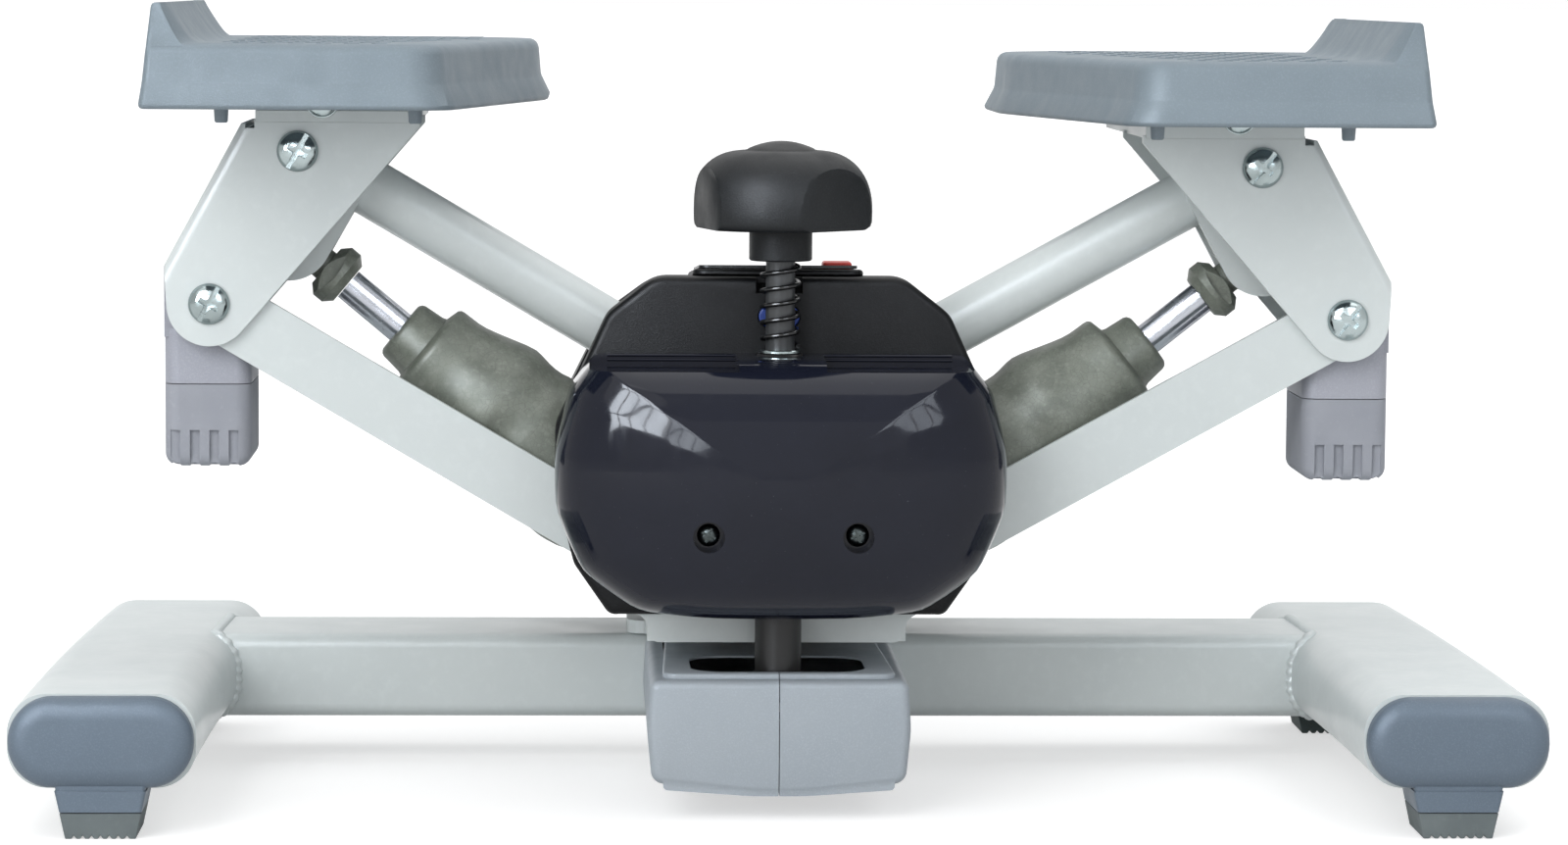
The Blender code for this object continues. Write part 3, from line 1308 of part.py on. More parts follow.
def make_lower_bars(side):
    """The two flat bars of a lower arm; the front one carries the rocker's tail pin."""
    angle = ARM_REST_ANGLE[side]
    inner = (*LOWER_PIVOT, BAR_HEIGHT / 2)
    outer = (*outer_pivot(side), BAR_HEIGHT / 2)
    tail = LOWER_PIVOT - BAR_TAIL * Vector((math.cos(angle), math.sin(angle)))
    holes = [
        hole((SIDES[side] * LOWER_PIVOT.x, LOWER_PIVOT.y), PIVOT_PIN_RADIUS + GAP),
        hole((SIDES[side] * outer_pivot(side).x, outer_pivot(side).y), BOLT_RADIUS + GAP),
    ]
    bars = []
    for place, middle in (("front", FRONT_BAR_Y), ("rear", BACK_BAR_Y)):
        circles = [inner, outer]
        if place == "front":
            circles.append((*tail, TAIL_RADIUS))
        outline = hull(on_side(side, circles))
        bar = upright_plate(
            f"{side}_lower_arm_{place}", [outline, *holes], middle - SHEET / 2, middle + SHEET / 2, WHITE_PAINT
        )
        bars.append(bar)
    pin_front = out(side, *tail, ROCKER_FRONT_Y)
    pin_back = out(side, *tail, FRONT_BAR_Y)
    join(bars[0], rod(f"{side}_tail_pin", pin_front, pin_back, TAIL_PIN_RADIUS, PLAIN_STEEL, 10))
    return bars


def make_upper_arm(side):
    """Round tube with a cross sleeve at each end and the damper's two lugs."""
    inner = LOWER_PIVOT + PIVOT_OFFSET
    outer = outer_pivot(side) + PIVOT_OFFSET
    eye = rod_eye(side)
    along = (outer - inner).normalized()
    start = out(side, *inner, MIDDLE_Y)
    tube_end = outer - along * TUBE_END_GAP
    end = out(side, *tube_end, MIDDLE_Y)
    arm = rod(f"{side}_upper_arm", start, end, TUBE_RADIUS, WHITE_PAINT)
    for name, place, radius in (("inner", inner, INNER_SLEEVE_RADIUS), ("outer", outer, OUTER_SLEEVE_RADIUS)):
        near = out(side, *place, MIDDLE_Y - SLEEVE_HALF_LENGTH)
        far = out(side, *place, MIDDLE_Y + SLEEVE_HALF_LENGTH)
        join(arm, rod(f"{side}_{name}_sleeve", near, far, radius, WHITE_PAINT))
    neck = outer - along * 0.020
    lug = hull(on_side(side, [(*eye, LUG_RADIUS), (*outer, 0.006), (*neck, 0.006)]))
    for name, way in (("front", -1), ("back", 1)):
        faces = sorted((MIDDLE_Y + way * LUG_HALF_GAP, MIDDLE_Y + way * (LUG_HALF_GAP + LUG_THICKNESS)))
        join(arm, upright_plate(f"{side}_lug_{name}", [lug], faces[0], faces[1], WHITE_PAINT))
    pin_near = out(side, *eye, MIDDLE_Y - LUG_HALF_GAP - 0.001)
    pin_far = out(side, *eye, MIDDLE_Y + LUG_HALF_GAP + 0.001)
    join(arm, rod(f"{side}_lug_pin", pin_near, pin_far, BOLT_RADIUS, PLAIN_STEEL, PIN_SIDES))
    reach = SLEEVE_HALF_LENGTH + 0.005
    for name, place, radius in (("inner", inner, PIVOT_PIN_RADIUS), ("outer", outer, BOLT_RADIUS)):
        near = out(side, *place, MIDDLE_Y - reach)
        far = out(side, *place, MIDDLE_Y + reach)
        cut(arm, rod(f"{side}_{name}_bore", near, far, radius + GAP, WHITE_PAINT, PIN_SIDES))
    return smooth(arm)


def damper_frame(side):
    """A placement at the damper's lower eye, with Z along the damper."""
    low = out(side, *DAMPER_PIVOT, MIDDLE_Y)
    high = out(side, *rod_eye(side), MIDDLE_Y)
    return towards(low, high - low), (high - low).length


def make_damper(side):
    """The drawn can with its swaged shoulders, the chrome rod and the painted rod end."""
    placement, length = damper_frame(side)
    axis = placement.to_quaternion() @ Vector((0, 0, 1))
    low = out(side, *DAMPER_PIVOT, MIDDLE_Y)
    high = low + axis * length
    cap_face = length - 0.0490
    bore = DAMPER_ROD_RADIUS + GAP
    radius = DAMPER_RADIUS
    bore_low = cap_face - ROD_DEPTH - BORE_END
    profile = [
        (0, cap_face),
        (radius * 0.41, cap_face),
        (radius * 0.46, cap_face - 0.0012),
        (radius * 0.49, cap_face - 0.0100),
        (radius * 0.74, cap_face - 0.0125),
        (radius * 0.755, cap_face - 0.0200),
        (radius * 0.82, cap_face - 0.0270),
        (radius * 0.985, cap_face - 0.0410),
        (radius * 0.955, cap_face - 0.0500),
        (radius, cap_face - 0.0570),
        (radius, cap_face - 0.0830),
        (radius * 0.90, cap_face - 0.0930),
        (radius * 0.68, cap_face - 0.0990),
        (DAMPER_EYE_HALF, cap_face - 0.1035),
        (DAMPER_EYE_HALF, 0.0060),
        (0, 0.0060),
    ]
    solid = turned(f"{side}_damper_body", profile, DAMPER_PAINT, placement, sides=20)
    bore_start = low + axis * bore_low
    bore_end = low + axis * (cap_face + 0.01)
    cut(solid, rod(f"{side}_damper_bore", bore_start, bore_end, bore, DAMPER_PAINT, 16))
    eye_near = low - Vector((0, DAMPER_EYE_HALF, 0))
    eye_far = low + Vector((0, DAMPER_EYE_HALF, 0))
    join(solid, rod(f"{side}_damper_eye", eye_near, eye_far, DAMPER_EYE_RADIUS, DAMPER_PAINT))
    near = low - Vector((0, DAMPER_RADIUS, 0))
    far = low + Vector((0, DAMPER_RADIUS, 0))
    cut(solid, rod(f"{side}_damper_eye_bore", near, far, BOLT_RADIUS + GAP, DAMPER_PAINT, PIN_SIDES))
    rod_low = low + axis * (cap_face - ROD_DEPTH)
    collar_low = high - axis * (COLLAR_TO_EYE + DAMPER_COLLAR)
    chrome = rod(f"{side}_damper_rod", rod_low, collar_low - axis * GAP, DAMPER_ROD_RADIUS, CHROME)
    end = make_rod_end(side, placement, length)
    return solid, chrome, end


def make_rod_end(side, placement, length):
    """The chamfered disc and the eye; the eye's wide bore leaves room round the lug pin."""
    low = length - COLLAR_TO_EYE - DAMPER_COLLAR
    high = low + DAMPER_COLLAR
    chamfer = DAMPER_COLLAR * 0.3
    profile = [
        (0, length - ROD_EYE_RADIUS + 0.001),
        (0.0052, length - ROD_EYE_RADIUS + 0.001),
        (0.0052, high),
        (DAMPER_COLLAR_RADIUS - chamfer, high),
        (DAMPER_COLLAR_RADIUS, high - chamfer),
        (DAMPER_COLLAR_RADIUS, low + chamfer),
        (DAMPER_COLLAR_RADIUS - chamfer, low),
        (0, low),
    ]
    end = turned(f"{side}_damper_end", profile, DAMPER_PAINT, placement, sides=ROUND_SIDES)
    centre = placement @ Vector((0, 0, length))
    half = Vector((0, ROD_EYE_HALF, 0))
    join(end, rod(f"{side}_rod_eye", centre - half, centre + half, ROD_EYE_RADIUS, DAMPER_PAINT))
    return cut(end, rod(
        f"{side}_rod_eye_bore", centre - 2 * half, centre + 2 * half, BOLT_RADIUS + EYE_PLAY, DAMPER_PAINT, 16
    ))


# Pedal side

def bracket_point(side, across, up, y=0.0):
    pivot = outer_pivot(side)
    return out(side, pivot.x + across, pivot.y + up, y)


def bracket_outline(side, shapes):
    pivot = outer_pivot(side)
    return on_side(side, [(pivot.x + across, pivot.y + up, radius) for across, up, radius in shapes])


def make_bracket(side):
    """One folded sheet: two flanges, the outer web with its bends, and the top plate."""
    name = f"{side}_pedal_bracket"
    back_y = BRACKET_FRONT_Y + BRACKET_DEPTH
    shape = [
        (0, 0, FLANGE_RADIUS),
        (FLANGE_TOP_OUTER, FLANGE_TOP, 0),
        (FLANGE_TOP_INNER, FLANGE_TOP, 0),
    ]
    outline = hull(bracket_outline(side, shape))
    bracket = upright_plate(name, [outline], BRACKET_FRONT_Y, back_y, WHITE_PAINT)
    pivot = outer_pivot(side)
    top = Vector((FLANGE_TOP_OUTER, FLANGE_TOP))
    lean = math.acos(FLANGE_RADIUS / top.length)
    touch_angle = math.atan2(top.y, top.x) - lean
    normal = Vector((math.cos(touch_angle), math.sin(touch_angle)))

    def on_outer_edge(co):
        across = SIDES[side] * co.x - pivot.x
        up = co.y - pivot.y
        return abs(Vector((across, up)).dot(normal) - FLANGE_RADIUS) < 0.0007 and up > 0.001

    soften_edges = []
    work = bmesh.new()
    work.from_mesh(bracket.data)
    for edge in work.edges:
        first, second = edge.verts
        same_face = abs(first.co.z - second.co.z) < 1e-6
        if same_face and edge.calc_length() > 0.01 and on_outer_edge(first.co) and on_outer_edge(second.co):
            soften_edges.append(edge)
    bmesh.ops.bevel(work, geom=soften_edges, offset=BEND_RADIUS, segments=3, profile=0.5, affect="EDGES")
    work.to_mesh(bracket.data)
    work.free()

    inset = FLANGE_RADIUS - SHEET
    along = Vector((-normal.y, normal.x))
    low = normal * inset - along * 0.060
    high = normal * inset + along * 0.080
    away = -normal * 0.130
    room = [low, high, high + away, low + away]
    room = on_side(side, [(pivot.x + point.x, pivot.y + point.y) for point in room])
    cut(bracket, upright_plate(name + "_room", [room], INNER_FRONT_Y, INNER_BACK_Y, WHITE_PAINT))
    below = box_outline(
        pivot.x - BRACKET_GATE, pivot.x + BRACKET_GATE, pivot.y - BRACKET_GATE, pivot.y + BRACKET_GATE_RISE
    )
    cut(bracket, upright_plate(name + "_gate", [on_side(side, below)], INNER_FRONT_Y, INNER_BACK_Y, WHITE_PAINT))
    for label, place in (("lower", pivot), ("upper", pivot + PIVOT_OFFSET)):
        near = out(side, *place, BRACKET_FRONT_Y - 0.01)
        far = out(side, *place, back_y + 0.01)
        cut(bracket, rod(f"{name}_{label}_hole", near, far, BOLT_RADIUS + GAP, WHITE_PAINT, PIN_SIDES))
    corner_a = bracket_point(side, FLANGE_TOP_INNER + SHEET / 3, FLANGE_TOP - SHEET / 3, BRACKET_FRONT_Y + SHEET / 4)
    corner_b = bracket_point(side, FLANGE_TOP_OUTER - SHEET / 3, FLANGE_TOP + SHEET, TOP_PLATE_BACK_Y)
    low_corner = [min(a, b) for a, b in zip(corner_a, corner_b)]
    high_corner = [max(a, b) for a, b in zip(corner_a, corner_b)]
    join(bracket, block(name + "_top", low_corner, high_corner, WHITE_PAINT))
    return smooth(bracket)


def make_bolt(side, label, place):
    """Domed bolt, with its shoulder between the bars and its nut behind."""
    name = f"{side}_{label}_bolt"
    back_y = BRACKET_FRONT_Y + BRACKET_DEPTH
    origin = out(side, *place, BRACKET_FRONT_Y - GAP)
    length = back_y - BRACKET_FRONT_Y + 2 * GAP
    shoulder = BOLT_SHOULDER_RADIUS if label == "lower" else BOLT_RADIUS
    shoulder_start = FRONT_BAR_Y + SHEET / 2 + RUNNING_GAP - origin.y
    shoulder_end = BACK_BAR_Y - SHEET / 2 - RUNNING_GAP - origin.y
    dome = ((0, 1), (0.43, 0.97), (0.79, 0.72), (1, 0.11), (1, 0))
    head = [(BOLT_HEAD_RADIUS * across, BOLT_HEAD_HEIGHT * rise) for across, rise in dome]
    shank = [
        (BOLT_RADIUS, 0),
        (BOLT_RADIUS, -shoulder_start),
        (shoulder, -shoulder_start),
        (shoulder, -shoulder_end),
        (BOLT_RADIUS, -shoulder_end),
    ]
    if label == "upper":
        shank = shank[:1]
    tail = [
        (BOLT_RADIUS, -length),
        (BOLT_NUT_RADIUS, -length),
        (BOLT_NUT_RADIUS, -length - BOLT_NUT_HEIGHT),
        (BOLT_RADIUS, -length - BOLT_NUT_HEIGHT),
        (BOLT_RADIUS, -length - BOLT_NUT_HEIGHT - BOLT_TIP),
        (0, -length - BOLT_NUT_HEIGHT - BOLT_TIP),
    ]
    return turned(name, head + shank + tail, ZINC, towards(origin, (0, -1, 0)), sides=PIN_SIDES)


def pedal_outline(side, inset):
    pivot = outer_pivot(side)
    deep = PEDAL_HALF_DEPTH - inset
    corners = [
        (PEDAL_OUTER - inset, -deep, 0.006),
        (PEDAL_OUTER - inset, deep, 0.014),
        (PEDAL_BACK_INNER + 0.024 + inset, deep, 0.030),
        (PEDAL_BACK_INNER + inset, deep - 0.030, 0.030),
        (PEDAL_FRONT_INNER + inset, -deep, 0.003),
    ]
    return rounded([(SIDES[side] * (pivot.x + across), y, radius) for across, y, radius in corners])


def pedal_solid(name, side, levels):
    base = outer_pivot(side).y
    rings = [[(x, y, base + up) for x, y in pedal_outline(side, inset)] for up, inset in levels]
    return loft(name, rings, PEDAL_PLASTIC)


def make_pedal(side):
    """A moulded tray turned upside down, with its mounting pad, bosses and outer wall."""
    name = f"{side}_pedal"
    deck = PEDAL_TOP - PEDAL_BOTTOM
    levels = [
        (PEDAL_BOTTOM, 0),
        (PEDAL_BOTTOM + 0.0016, 0.0004),
        (PEDAL_TOP - 0.0030, PEDAL_FLARE),
        (PEDAL_TOP - 0.0008, PEDAL_FLARE + 0.0009),
        (PEDAL_TOP, PEDAL_FLARE + 0.0030),
    ]
    pedal = pedal_solid(name, side, levels)
    fin_outer = PEDAL_OUTER - PEDAL_FLARE - 0.0005
    wall = rounded([
        (-PEDAL_HALF_DEPTH + PEDAL_FLARE + 0.001, PEDAL_TOP - 0.006, 0),
        (-PEDAL_HALF_DEPTH + PEDAL_FLARE + 0.004, FIN_TOP, 0.004),
        (FIN_SLOPE_START_Y, FIN_TOP, 0.040),
        (PEDAL_HALF_DEPTH - PEDAL_FLARE - 0.006, PEDAL_TOP, 0.006),
        (PEDAL_HALF_DEPTH - PEDAL_FLARE - 0.008, PEDAL_TOP - 0.006, 0),
    ])
    pivot = outer_pivot(side)
    wall = [(y, pivot.y + up) for y, up in wall]
    faces = sorted(SIDES[side] * (pivot.x + across) for across in (fin_outer, fin_outer - FIN_THICKNESS))
    join(pedal, side_plate(name + "_fin", [wall], faces[0], faces[1], PEDAL_PLASTIC))
    roof = PEDAL_TOP - PEDAL_WALL
    hollow = pedal_solid(
        name + "_hollow",
        side,
        [(PEDAL_BOTTOM - 0.005, PEDAL_WALL - 0.0010), (PEDAL_BOTTOM, PEDAL_WALL), (roof, PEDAL_FLARE + PEDAL_WALL)],
    )
    low = bracket_point(side, FLANGE_TOP_INNER + 0.003, FLANGE_TOP + SHEET + GAP, BRACKET_FRONT_Y + 0.004)
    high = bracket_point(side, FLANGE_TOP_OUTER - 0.003, roof + 0.001, TOP_PLATE_BACK_Y - 0.005)
    low_corner = [min(a, b) for a, b in zip(low, high)]
    high_corner = [max(a, b) for a, b in zip(low, high)]
    cut(pedal, hollow)
    join(pedal, block(name + "_mount", low_corner, high_corner, PEDAL_PLASTIC))
    for number, (across, y) in enumerate(((0.006, -0.095), (-0.064, -0.095), (0.006, 0.100), (-0.075, 0.100)), 1):
        foot = bracket_point(side, across, PEDAL_BOTTOM - 0.0050, y)
        head = bracket_point(side, across, roof + 0.001, y)
        join(pedal, rod(f"{name}_boss_{number}", foot, head, 0.0045, PEDAL_PLASTIC, 10))
    return smooth(pedal)


def make_bumper(side):
    """Moulded stop block with its grooved rubber foot, between the bracket's flanges."""
    top = bracket_point(side, BUMPER_INNER, BUMPER_TOP, BUMPER_FRONT_Y)
    seam = bracket_point(side, BUMPER_OUTER, BUMPER_SEAM, BUMPER_BACK_Y)
    xs = sorted((top.x, seam.x))
    outline = box_outline(xs[0], xs[1], BUMPER_FRONT_Y, BUMPER_BACK_Y, 0.003)
    upper = level_plate(f"{side}_bumper_block", [outline], seam.z, top.z, BUMPER_PLASTIC)
    tongue_low = bracket_point(side, 0.0080, BUMPER_TOP - 0.002, BUMPER_FRONT_Y + 0.006)
    tongue_high = bracket_point(side, 0.0108, 0.0040, BUMPER_BACK_Y - 0.006)
    low_corner = [min(a, b) for a, b in zip(tongue_low, tongue_high)]
    high_corner = [max(a, b) for a, b in zip(tongue_low, tongue_high)]
    join(upper, block(f"{side}_bumper_tongue", low_corner, high_corner, BUMPER_PLASTIC))
    bottom = outer_pivot(side).y + BUMPER_BOTTOM
    foot = level_plate(f"{side}_bumper_foot", [outline], bottom, seam.z - GAP, BUMPER_RUBBER)
    height = seam.z - GAP - bottom
    soften(foot, 0.0020, lambda co: co.z < -height / 2 + 1e-5, 2)
    width = xs[1] - xs[0]
    for number in range(BUMPER_GROOVES):
        x = xs[0] + width * (number + 0.5) / BUMPER_GROOVES
        low = (x - BUMPER_GROOVE_WIDTH / 2, BUMPER_FRONT_Y - 0.002, bottom - 0.002)
        high = (x + BUMPER_GROOVE_WIDTH / 2, BUMPER_FRONT_Y + BUMPER_GROOVE_DEPTH, bottom + BUMPER_GROOVE_HEIGHT)
        cut(foot, block(f"{side}_groove_{number + 1}", low, high, BUMPER_RUBBER))
    return upper, foot


def make_side(side):
    lower = outer_pivot(side)
    upper = lower + PIVOT_OFFSET
    low_pivot = new_pivot(f"{side}_lower_arm_pivot", out(side, *LOWER_PIVOT), TWIST)
    hang(low_pivot, *make_lower_bars(side))
    high_pivot = new_pivot(f"{side}_upper_arm_pivot", out(side, *(LOWER_PIVOT + PIVOT_OFFSET)), TWIST)
    hang(high_pivot, make_upper_arm(side))
    body, chrome, end = make_damper(side)
    swing = new_pivot(f"{side}_damper_pivot", out(side, *DAMPER_PIVOT), TWIST)
    hang(swing, body)
    slide = new_pivot(f"{side}_damper_slide", out(side, *rod_eye(side)), swing)
    hang(slide, chrome, end)
    bracket_pivot = new_pivot(f"{side}_bracket_pivot", out(side, *lower), low_pivot)
    hang(bracket_pivot, make_bracket(side), make_pedal(side), *make_bumper(side))
    hang(bracket_pivot, make_bolt(side, "lower", lower), make_bolt(side, "upper", upper))


TWIST = new_pivot("twist_pivot", TWIST_AXIS)


def make_base():
    make_cross_tube()
    for side in SIDES:
        make_leg(side)
        for end in ("front", "rear"):
            make_cap(side, end)
            make_pad(side, end)
        make_nose_half(side)
    make_nose_arm()
    make_turntable_plate()
    make_spindle()


def make_twist_unit():
    hang(TWIST, make_bush(), make_spindle_nut(), make_twist_frame(), make_smoky_cover())
    hang(TWIST, *make_housing_front(), make_housing_rear(), *make_console(), *make_lock())
    for side in SIDES:
        hang(TWIST, make_upper_axle(side))
    make_rocker()


make_base()
make_twist_unit()
for name_of_side in SIDES:
    make_side(name_of_side)
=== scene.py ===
"""Looks of the twist stepper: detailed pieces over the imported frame, floor, light and camera.

Shapes are worked out in millimetres, in the frame's own axes, and scaled to metres when a
piece is put in the scene. A side's places are (u, z), with u counted outwards from the middle.
"""

import math

import bmesh
import bpy
from mathutils import Matrix, Vector
from mathutils.geometry import convex_hull_2d


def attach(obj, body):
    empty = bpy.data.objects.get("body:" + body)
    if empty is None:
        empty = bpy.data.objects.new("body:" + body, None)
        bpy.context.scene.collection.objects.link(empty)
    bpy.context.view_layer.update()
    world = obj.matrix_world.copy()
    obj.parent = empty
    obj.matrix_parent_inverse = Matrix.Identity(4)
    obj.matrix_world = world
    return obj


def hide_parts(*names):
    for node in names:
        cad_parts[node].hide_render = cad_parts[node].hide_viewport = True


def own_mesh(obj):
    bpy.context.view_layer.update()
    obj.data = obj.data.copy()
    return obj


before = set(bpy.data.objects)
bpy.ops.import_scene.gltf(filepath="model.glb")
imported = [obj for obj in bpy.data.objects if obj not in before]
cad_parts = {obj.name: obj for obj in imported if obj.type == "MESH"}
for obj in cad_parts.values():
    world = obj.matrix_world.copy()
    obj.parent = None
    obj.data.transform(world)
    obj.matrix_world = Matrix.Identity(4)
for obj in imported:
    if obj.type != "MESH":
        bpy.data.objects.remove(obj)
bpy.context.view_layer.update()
SCENE = bpy.context.scene

# Sizes, in millimetres

SIDES = {"left": -1, "right": 1}
LOWER_PIVOT = Vector((46.0, 84.0))
TO_UPPER = Vector((-30.0, 51.8))
ARM_LENGTH = 170.0
ARM_ANGLE = {"left": math.radians(30.4), "right": math.radians(28.9)}
LUG_DROP = Vector((3.8, -30.5))
DAMPER_PIVOT = Vector((28.0, 75.6))
MIDDLE_Y = -20.5
FRONT_Y = -52.0
BACK_Y = 11.0
SHEET = 3.0
BOLT_HOLE = 4.3
AXLE_HOLE = 5.3
LOCK_Y = -72.0
LEG_Z = 31.5
CROSS_Y = 55.0
FINE = math.radians(8)


def outer_pivot(side):
    angle = ARM_ANGLE[side]
    return LOWER_PIVOT + ARM_LENGTH * Vector((math.cos(angle), math.sin(angle)))


def rod_eye(side):
    drop = LUG_DROP.copy()
    drop.rotate(Matrix.Rotation(ARM_ANGLE[side] - math.radians(29.7), 2))
    return outer_pivot(side) + TO_UPPER + drop


def out(side, u, z, y=0.0):
    return Vector((SIDES[side] * u, y, z))


def at_pivot(side, across, up, y=0.0):
    """A place given from a side's outer pivot."""
    pivot = outer_pivot(side)
    return out(side, pivot.x + across, pivot.y + up, y)


# Outlines

def rounded(corners, count=None):
    """An outline whose corners (x, y, radius) are arcs, of a given count of steps if it is named."""
    points = []
    for index, (x, y, radius) in enumerate(corners):
        if radius <= 0:
            points.append((x, y))
            continue
        corner = Vector((x, y))
        before = (Vector(corners[index - 1][:2]) - corner).normalized()
        after = (Vector(corners[(index + 1) % len(corners)][:2]) - corner).normalized()
        half = before.angle(after) / 2
        centre = corner + (before + after).normalized() * radius / math.sin(half)
        first = corner + before * radius / math.tan(half) - centre
        last = corner + after * radius / math.tan(half) - centre
        start = math.atan2(first.y, first.x)
        turn = math.remainder(math.atan2(last.y, last.x) - start, math.tau)
        steps = count or max(2, math.ceil(abs(turn) / FINE))
        for number in range(steps + 1):
            angle = start + turn * number / steps
            points.append((centre.x + radius * math.cos(angle), centre.y + radius * math.sin(angle)))
    return points


def box_outline(low_x, high_x, low_y, high_y, radius):
    corners = ((low_x, low_y), (high_x, low_y), (high_x, high_y), (low_x, high_y))
    return rounded([(x, y, radius) for x, y in corners])


def mirrored(half):
    """An outline from its right half, whose corners are (x, y, radius)."""
    return rounded(list(half) + [(-x, y, radius) for x, y, radius in reversed(half)])


def circle(centre, radius, sides=40):
    turns = [math.tau * index / sides for index in range(sides)]
    return [(centre[0] + radius * math.cos(turn), centre[1] + radius * math.sin(turn)) for turn in turns]


def hull(circles):
    """The outline of a band stretched round circles (x, y, radius)."""
    points = []
    for x, y, radius in circles:
        points += circle((x, y), radius, 60) if radius else [(x, y)]
    return [points[index] for index in convex_hull_2d(points)]


def shrunk(outline, distance):
    """A closed outline moved inwards by a distance."""
    area = sum(outline[i - 1][0] * y - x * outline[i - 1][1] for i, (x, y) in enumerate(outline))
    turn = 1 if area > 0 else -1
    points = []
    for index, (x, y) in enumerate(outline):
        here = Vector((x, y))
        before = (here - Vector(outline[index - 1])).normalized()
        after = (Vector(outline[(index + 1) % len(outline)]) - here).normalized()
        normal = Vector((-before.y, before.x))
        inward = (normal + Vector((-after.y, after.x))).normalized()
        stretch = max(0.5, inward.dot(normal))
        points.append(tuple(here + inward * turn * distance / stretch))
    return points


def on_side(side, points):
    return [(SIDES[side] * point[0], *point[1:]) for point in points]


# Solids, in millimetres

def evaluated_mesh(shape):
    bpy.context.view_layer.update()
    return bpy.data.meshes.new_from_object(shape.evaluated_get(bpy.context.evaluated_depsgraph_get()))


def from_bmesh(work, placement=None):
    bmesh.ops.recalc_face_normals(work, faces=work.faces)
    mesh = bpy.data.meshes.new("shape")
    work.to_mesh(mesh)
    work.free()
    if placement is not None:
        mesh.transform(placement)
    shape = bpy.data.objects.new("shape", mesh)
    SCENE.collection.objects.link(shape)
    return shape


ACROSS = {
    "X": Matrix(((0, 0, 1, 0), (1, 0, 0, 0), (0, 1, 0, 0), (0, 0, 0, 1))),
    "Y": Matrix.Rotation(math.pi / 2, 4, "X"),
    "Z": Matrix.Identity(4),
}


def slab(axis, low, high, outline, *holes):
    """A flat outline, with holes, that fills the space between two planes across an axis."""
    curve = bpy.data.curves.new("outline", "CURVE")
    curve.dimensions = "2D"
    curve.fill_mode = "BOTH"
    curve.extrude = (high - low) / 2
    for ring in (outline, *holes):
        spline = curve.splines.new("POLY")
        spline.points.add(len(ring) - 1)
        for spline_point, place in zip(spline.points, ring):
            spline_point.co = (place[0], place[1], 0, 1)
        spline.use_cyclic_u = True
    guide = bpy.data.objects.new("outline", curve)
    SCENE.collection.objects.link(guide)
    mesh = evaluated_mesh(guide)
    bpy.data.objects.remove(guide)
    work = bmesh.new()
    work.from_mesh(mesh)
    bmesh.ops.remove_doubles(work, verts=work.verts, dist=0.002)
    bmesh.ops.dissolve_limit(work, angle_limit=0.002, verts=work.verts, edges=work.edges)
    shift = [(low + high) / 2 if name == axis else 0 for name in "XYZ"]
    return from_bmesh(work, Matrix.Translation(shift) @ ACROSS[axis])


def box(start, end):
    """A box between two opposite corners."""
    start, end = Vector(start), Vector(end)
    work = bmesh.new()
    bmesh.ops.create_cube(work, size=1)
    bmesh.ops.scale(work, vec=[abs(length) for length in end - start], verts=work.verts)
    return from_bmesh(work, Matrix.Translation((start + end) / 2))


def pivot_box(side, start, end):
    """A box whose corners (across, up, y) are given from a side's outer pivot."""
    return box(at_pivot(side, *start), at_pivot(side, *end))


def bridge(work, lower, upper, shift=0):
    """Faces between two rings of vertices of like count, the upper one turned by a shift."""
    upper = upper[shift:] + upper[:shift]
    for index in range(len(lower)):
        after = (index + 1) % len(lower)
        work.faces.new((lower[index], lower[after], upper[after], upper[index]))


def loft(rings):
    """A closed skin through rings of like count."""
    work = bmesh.new()
    rows = [[work.verts.new(place) for place in ring] for ring in rings]
    for lower, upper in zip(rows, rows[1:]):
        bridge(work, lower, upper)
    work.faces.new(rows[0])
    work.faces.new(rows[-1])
    return from_bmesh(work)


def towards(start, direction):
    """The placement that stands a shape's z axis at a start, along a direction."""
    return Matrix.Translation(start) @ Vector(direction).to_track_quat("Z", "Y").to_matrix().to_4x4()


def lathe(profile, placement, sides=64):
    """A profile of (radius, height) turned about z. Points on the axis close it."""
    work = bmesh.new()
    rows = []
    for radius, height in profile:
        ring = circle((0, 0), radius, sides) if radius else [(0, 0)]
        rows.append([work.verts.new((x, y, height)) for x, y in ring])
    pairs = list(zip(rows, rows[1:]))
    if len(rows[0]) > 1 and len(rows[-1]) > 1:
        pairs.append((rows[-1], rows[0]))
    for upper, lower in pairs:
        for index in range(sides):
            after = (index + 1) % sides
            loop = ((upper, index), (lower, index), (lower, after), (upper, after))
            corners = list(dict.fromkeys(row[number % len(row)] for row, number in loop))
            if len(corners) > 2:
                work.faces.new(corners)
    return from_bmesh(work, placement)


def rod(start, end, radius, sides=40, soft=0.0):
    start, end = Vector(start), Vector(end)
    length = (end - start).length
    profile = [(radius, 0), (radius, length)]
    if soft:
        profile = [(radius - soft, 0), (radius, soft), (radius, length - soft), (radius - soft, length)]
    return lathe([(0, 0), *profile, (0, length)], towards(start, end - start), sides)


def pin(side, place, half, radius, sides=40, soft=0.0, middle=MIDDLE_Y):
    """A rod along y through a place (u, z) of a side, half its length each way from the middle."""
    return rod(out(side, *place, middle - half), out(side, *place, middle + half), radius, sides, soft)


